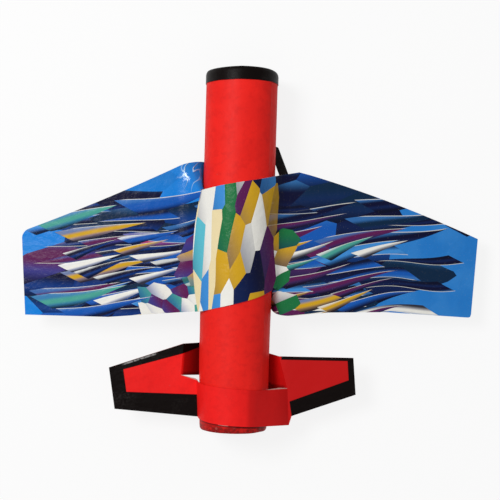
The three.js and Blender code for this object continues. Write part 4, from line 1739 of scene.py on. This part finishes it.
@dataclass
class Tail:
    """The red card, its front strip under the tube and its rear strip over it, and its tapes."""

    thickness: float = 0.4
    wrap: float = 23.05
    rise: float = 0.3
    datum: float = -79.8
    left_slit: tuple[float, float] = (33.35, 0)
    left_crease: tuple[float, float] = (32.15, 19.9)
    left_tip: tuple[float, float] = (78.7, 3.5)
    left_rear: tuple[float, float] = (74.4, -22.5)
    left_heel: tuple[float, float] = (23.55, -25.8)
    left_bend: tuple[float, float] = (23.55, -2.9)
    right_slit: tuple[float, float] = (34.15, -6.6)
    right_crease: tuple[float, float] = (28.35, 13.6)
    right_tip: tuple[float, float] = (75.2, 14)
    right_rear: tuple[float, float] = (77.3, -9.2)
    right_notch: tuple[float, float] = (37.35, -23.8)
    right_heel: tuple[float, float] = (35.55, -29.6)
    front_leads: tuple[float, float] = (20.1, 15)
    front_slit_leads: tuple[float, float] = (-1, -13.2)
    rear_slit_leads: tuple[float, float] = (-3.2, -6.4)
    rear_heel_leads: tuple[float, float] = (-26.2, -28.7)
    left_lean: tuple[float, float] = (0.4, 1.7)
    tape_thickness: float = 0.15
    tape_gap: float = 0.05
    tip_tape_width: float = 8.8
    trail_tape_widths: tuple[float, float] = (11, 13.9)
    steps: int = 56
    end_steps: int = 7
    lines: int = 11
    fray: float = 0.9
    fibre_thickness: float = 0.12
    left_torn: int = 9
    right_torn: int = 5
    rear_torn: tuple[int, int] = (32, 41)

    def corner(self, side: Side, at: tuple[float, float]) -> np.ndarray:
        """A corner of the level panels, before it is put in the frame."""
        return np.array([side.value * at[0], at[1], self.rise])

    def place(self, points: np.ndarray) -> np.ndarray:
        """Points of the tail in the frame."""
        return points + np.array([Tube.x0, self.datum, Tube.axis])

    def leaning(self, points: np.ndarray) -> np.ndarray:
        """Points of the rear strip, drawn in on the left with the tube that it presses on.

        Args:
            points: The strip's points, round the tube.

        Returns:
            The moved points.
        """
        depth = np.interp(-points[:, 1], (-self.left_bend[1], -self.left_heel[1]), self.left_lean)
        side = np.clip(-points[:, 0] / self.wrap, 0, 1) ** 2
        return points + np.outer(depth * side, (1, 0, 0))

    def strip_line(self, left: np.ndarray, right: np.ndarray, over: int,
                   leads: tuple[float, float]) -> np.ndarray:
        """A line along a strip from its left bend to its right bend.

        Args:
            left: The point at the left bend.
            right: The point at the right bend.
            over: 1 over the tube, -1 under it.
            leads: Where the line meets the tube, on its left and on its right.

        Returns:
            The points of the line.
        """
        half = [math.acos(self.wrap / math.hypot(end[0], end[2])) for end in (left, right)]
        start = math.atan2(left[2], left[0]) - over * half[0]
        stop = math.atan2(right[2], right[0]) + over * half[1] + (0 if over > 0 else 2 * math.pi)
        shares = np.linspace(0, 1, self.steps)
        angles = start + (stop - start) * shares
        leads_there = leads[0] + (leads[1] - leads[0]) * shares
        middle = np.stack([self.wrap * np.cos(angles), leads_there, self.wrap * np.sin(angles)], axis=1)
        before = np.linspace(left, middle[0], self.end_steps)[:-1]
        after = np.linspace(middle[-1], right, self.end_steps)[1:]
        line = np.concatenate([before, middle, after])
        return self.leaning(line) if over > 0 else line

    def sheet(self, finishes: Finishes) -> bpy.types.Object:
        """The red card with its one slit.

        Args:
            finishes: The materials.

        Returns:
            The new object.
        """
        left_slit, left_crease, left_tip, left_rear, left_heel, left_bend = (
            self.corner(Side.LEFT, at) for at in (
                self.left_slit, self.left_crease, self.left_tip,
                self.left_rear, self.left_heel, self.left_bend,
            )
        )
        right_slit, right_crease, right_tip, right_rear, right_notch, right_heel = (
            self.corner(Side.RIGHT, at) for at in (
                self.right_slit, self.right_crease, self.right_tip,
                self.right_rear, self.right_notch, self.right_heel,
            )
        )
        front, spans = [], list(zip(self.front_slit_leads, self.front_leads))
        for share in np.linspace(0, 1, self.lines):
            leads = [slit + (lead - slit) * share for slit, lead in spans]
            left = left_slit + (left_crease - left_slit) * share
            right = right_slit + (right_crease - right_slit) * share
            front.append(self.strip_line(left, right, -1, leads))
        sheet = Sheet()
        sheet.grid(self.place(np.array(front)))
        for tip, index, turn in ((left_tip, 0, 1), (right_tip, -1, -1)):
            for line, beyond in zip(front, front[1:]):
                sheet.level([self.place(corner) for corner in (tip, line[index], beyond[index])[::turn]])
        left = [left_slit, left_tip, left_rear, *self.leaning(np.array([left_heel, left_bend]))]
        right = [right_slit, right_heel, right_notch, right_rear, right_tip]
        for panel in (left, right):
            sheet.level([self.place(corner) for corner in panel])
        heel = self.strip_line(left_heel, right_heel, 1, self.rear_heel_leads)
        slit = self.strip_line(left_bend, right_slit, 1, self.rear_slit_leads)
        rear = [heel + (slit - heel) * share for share in np.linspace(0, 1, self.lines)]
        sheet.grid(self.place(np.array(rear)))
        materials = (finishes.red_card, finishes.red_card, finishes.red_edge)
        return sheet.piece("tail_card", self.thickness, materials)

    def trailing_tape(self, finishes: Finishes) -> bpy.types.Object:
        """The tape along the left trailing edge, up to the bend of the strap.

        Args:
            finishes: The materials.

        Returns:
            The new object.
        """
        tip, rear = self.corner(Side.LEFT, self.left_tip), self.corner(Side.LEFT, self.left_rear)
        ends = [self.corner(Side.LEFT, self.left_heel), self.corner(Side.LEFT, self.left_bend)]
        heel, bend = self.leaning(np.array(ends)) - (self.tape_gap, 0, 0)
        along = (heel - rear) / np.linalg.norm(heel - rear)
        ahead = np.array([-along[1], along[0], 0])
        inner = [rear + ahead * self.trail_tape_widths[0], heel + ahead * self.trail_tape_widths[1]]
        side = (tip - rear) / np.linalg.norm(tip - rear)
        inset = rear + np.array([side[1], -side[0], 0]) * self.tip_tape_width
        outline = [rear, heel, crossing(*inner, heel, bend), crossing(*inner, inset, inset + side)]
        lift = np.array([0, 0, (self.thickness + self.tape_thickness) / 2 + self.tape_gap])
        sheet = Sheet()
        sheet.level([self.place(corner + lift) for corner in outline])
        return sheet.piece("left_trailing_tape", self.tape_thickness, (finishes.black_tape,) * 3)

    def torn_edge(self, name: str, line: np.ndarray, width: float,
                  material: bpy.types.Material) -> bpy.types.Object:
        """The pale torn fibres along an edge of the card.

        Args:
            name: The piece's name.
            line: The edge they stand out from.
            width: About how far forward they reach, or to the rear if it is below 0.
            material: Their finish.

        Returns:
            The new object.
        """
        lengths = np.concatenate([[0], np.cumsum(np.linalg.norm(np.diff(line, axis=0), axis=1))])
        runs = np.linspace(0, lengths[-1], 90)
        points = np.stack([np.interp(runs, lengths, line[:, axis]) for axis in range(3)], axis=1)
        rows = []
        for share in (-0.4, 0.3, 1.0):
            fray = [wander(run, share, 1.1, 5.0) * 0.5 + wander(run, 2 * share, 3.7, 8.0) for run in runs]
            ends = arch(np.linspace(0.02, 0.98, len(runs))) ** 0.4
            rows.append(points + np.outer((share * width * (0.75 + 0.5 * np.array(fray))) * ends, (0, 1, 0)))
        sheet = Sheet()
        sheet.grid(self.place(np.array(rows)))
        return sheet.piece(name, self.fibre_thickness, (material,) * 3)

    def build(self, finishes: Finishes) -> None:
        """Make the tail's pieces.

        Args:
            finishes: The materials.
        """
        bend, end = self.corner(Side.LEFT, self.left_bend), self.corner(Side.RIGHT, self.right_slit)
        slit = self.strip_line(bend, end, 1, self.rear_slit_leads)
        left = np.concatenate([[self.corner(Side.LEFT, self.left_slit)], slit[:self.left_torn]])
        heels = self.corner(Side.LEFT, self.left_heel), self.corner(Side.RIGHT, self.right_heel)
        rear = self.strip_line(*heels, 1, self.rear_heel_leads)[slice(*self.rear_torn)]
        right = slit[-self.right_torn:]
        torn = (("left", left, self.fray), ("right", right, self.fray), ("rear", rear, -self.fray / 2))
        for place, line, width in torn:
            piece = self.torn_edge(f"torn_edge_{place}", line, width, finishes.torn_card)
            hand_over(piece, Body.TAIL, "red_card")
        hand_over(self.sheet(finishes), Body.TAIL, "red_card", "tail_sheet")
        hand_over(self.trailing_tape(finishes), Body.TAIL, "black_tape", "tail_tape_left_trailing")
        dress("tail_tape_left_leading", finishes.rubbed_tape)
        for strip in ("left_tip", "right_leading", "right_tip", "right_trailing"):
            dress(f"tail_tape_{strip}", finishes.black_tape)


@dataclass
class Studio:
    """The pale floor, the soft lights and the camera straight above."""

    camera_place: Point = (-0.00006, 0.00030, 0.75325)
    lens: float = 83.3
    sensor: float = 36
    roll: float = 1.685
    key_place: Point = (-0.54, 0.32, 1.00)
    key_size: float = 0.42
    key_power: float = 6.9
    sky: float = 0.45
    shadow_share: float = 0.16
    floor_reach: float = 3
    floor_drop: float = 0.0002
    floor_tone: float = 0.92
    floor_bounce: float = 0.3

    def camera(self) -> None:
        """Put the camera over the glider."""
        data = bpy.data.cameras.new("camera")
        data.sensor_width, data.lens = self.sensor, self.lens
        camera = bpy.data.objects.new("camera", data)
        bpy.context.scene.collection.objects.link(camera)
        turn = math.radians(self.roll)
        up, back = Vector((-math.sin(turn), math.cos(turn), 0)), Vector((0, 0, 1))
        facing = Matrix((up.cross(back), up, back)).transposed().to_4x4()
        camera.matrix_world = Matrix.Translation(self.camera_place) @ facing
        bpy.context.scene.camera = camera

    def floor(self) -> None:
        """Lay the floor, which looks white and keeps a soft shadow."""
        mesh = bpy.data.meshes.new("floor")
        turns = ((-1, -1), (1, -1), (1, 1), (-1, 1))
        corners = [(x * self.floor_reach, y * self.floor_reach, -self.floor_drop) for x, y in turns]
        mesh.from_pydata(corners, [], [(0, 1, 2, 3)])
        floor = bpy.data.objects.new("floor", mesh)
        bpy.context.scene.collection.objects.link(floor)
        g = Graph("white_floor")
        rays = g.node("ShaderNodeLightPath").outputs
        seen = Value(g, rays["Is Camera Ray"]) + Value(g, rays["Is Glossy Ray"])
        seen = (seen + Value(g, rays["Is Transmission Ray"])).clamped()
        plain = g.node("ShaderNodeBsdfDiffuse", inputs={"Color": (self.floor_tone,) * 3}).outputs[0]
        dim = g.node("ShaderNodeBsdfDiffuse", inputs={"Color": (self.floor_bounce,) * 3}).outputs[0]
        white = g.node("ShaderNodeEmission", inputs={"Color": (1.0, 1.0, 1.0), "Strength": 1.0}).outputs[0]
        bright = g.node("ShaderNodeMixShader", inputs={0: 1 - self.shadow_share, 1: plain, 2: white})
        upper = g.node("ShaderNodeMixShader", inputs={0: seen, 1: dim, 2: bright.outputs[0]})
        below = g.node("ShaderNodeNewGeometry").outputs["Backfacing"]
        clear = g.node("ShaderNodeBsdfTransparent").outputs[0]
        surface = g.node("ShaderNodeMixShader", inputs={0: below, 1: upper.outputs[0], 2: clear})
        g.node("ShaderNodeOutputMaterial", inputs={"Surface": surface.outputs[0]})
        mesh.materials.append(g.material)

    def lights(self) -> None:
        """Hang the soft key light on the left and set the even light all round."""
        data = bpy.data.lights.new("key", "AREA")
        data.shape, data.size, data.energy = "DISK", self.key_size, self.key_power
        key = bpy.data.objects.new("key", data)
        bpy.context.scene.collection.objects.link(key)
        place = Vector(self.key_place)
        key.matrix_world = Matrix.Translation(place) @ place.to_track_quat("Z", "Y").to_matrix().to_4x4()
        world = bpy.data.worlds.new("even_light")
        bpy.context.scene.world = world
        world.use_nodes = True
        tree = world.node_tree
        tree.nodes.clear()
        rays = tree.nodes.new("ShaderNodeLightPath")
        shade = tree.nodes.new("ShaderNodeMapRange")
        shade.inputs["To Min"].default_value = self.sky
        shade.inputs["To Max"].default_value = 1
        sky = tree.nodes.new("ShaderNodeBackground")
        sky.inputs["Color"].default_value = (1, 1, 1, 1)
        output = tree.nodes.new("ShaderNodeOutputWorld")
        tree.links.new(rays.outputs["Is Camera Ray"], shade.inputs["Value"])
        tree.links.new(shade.outputs[0], sky.inputs["Strength"])
        tree.links.new(sky.outputs[0], output.inputs["Surface"])
        bpy.context.scene.view_settings.view_transform = "Standard"

    def build(self) -> None:
        """Set the stage."""
        self.camera()
        self.floor()
        self.lights()


def main() -> None:
    """Build the glider in its studio."""
    logging.basicConfig(level=logging.INFO, format="%(name)s: %(message)s")
    Studio().build()
    finishes = Finishes.make()
    for assembly in (Tube(), Wing(), Tail()):
        assembly.build(finishes)
        log.info("%s is built", type(assembly).__name__.lower())


if __name__ == "__main__":
    main()
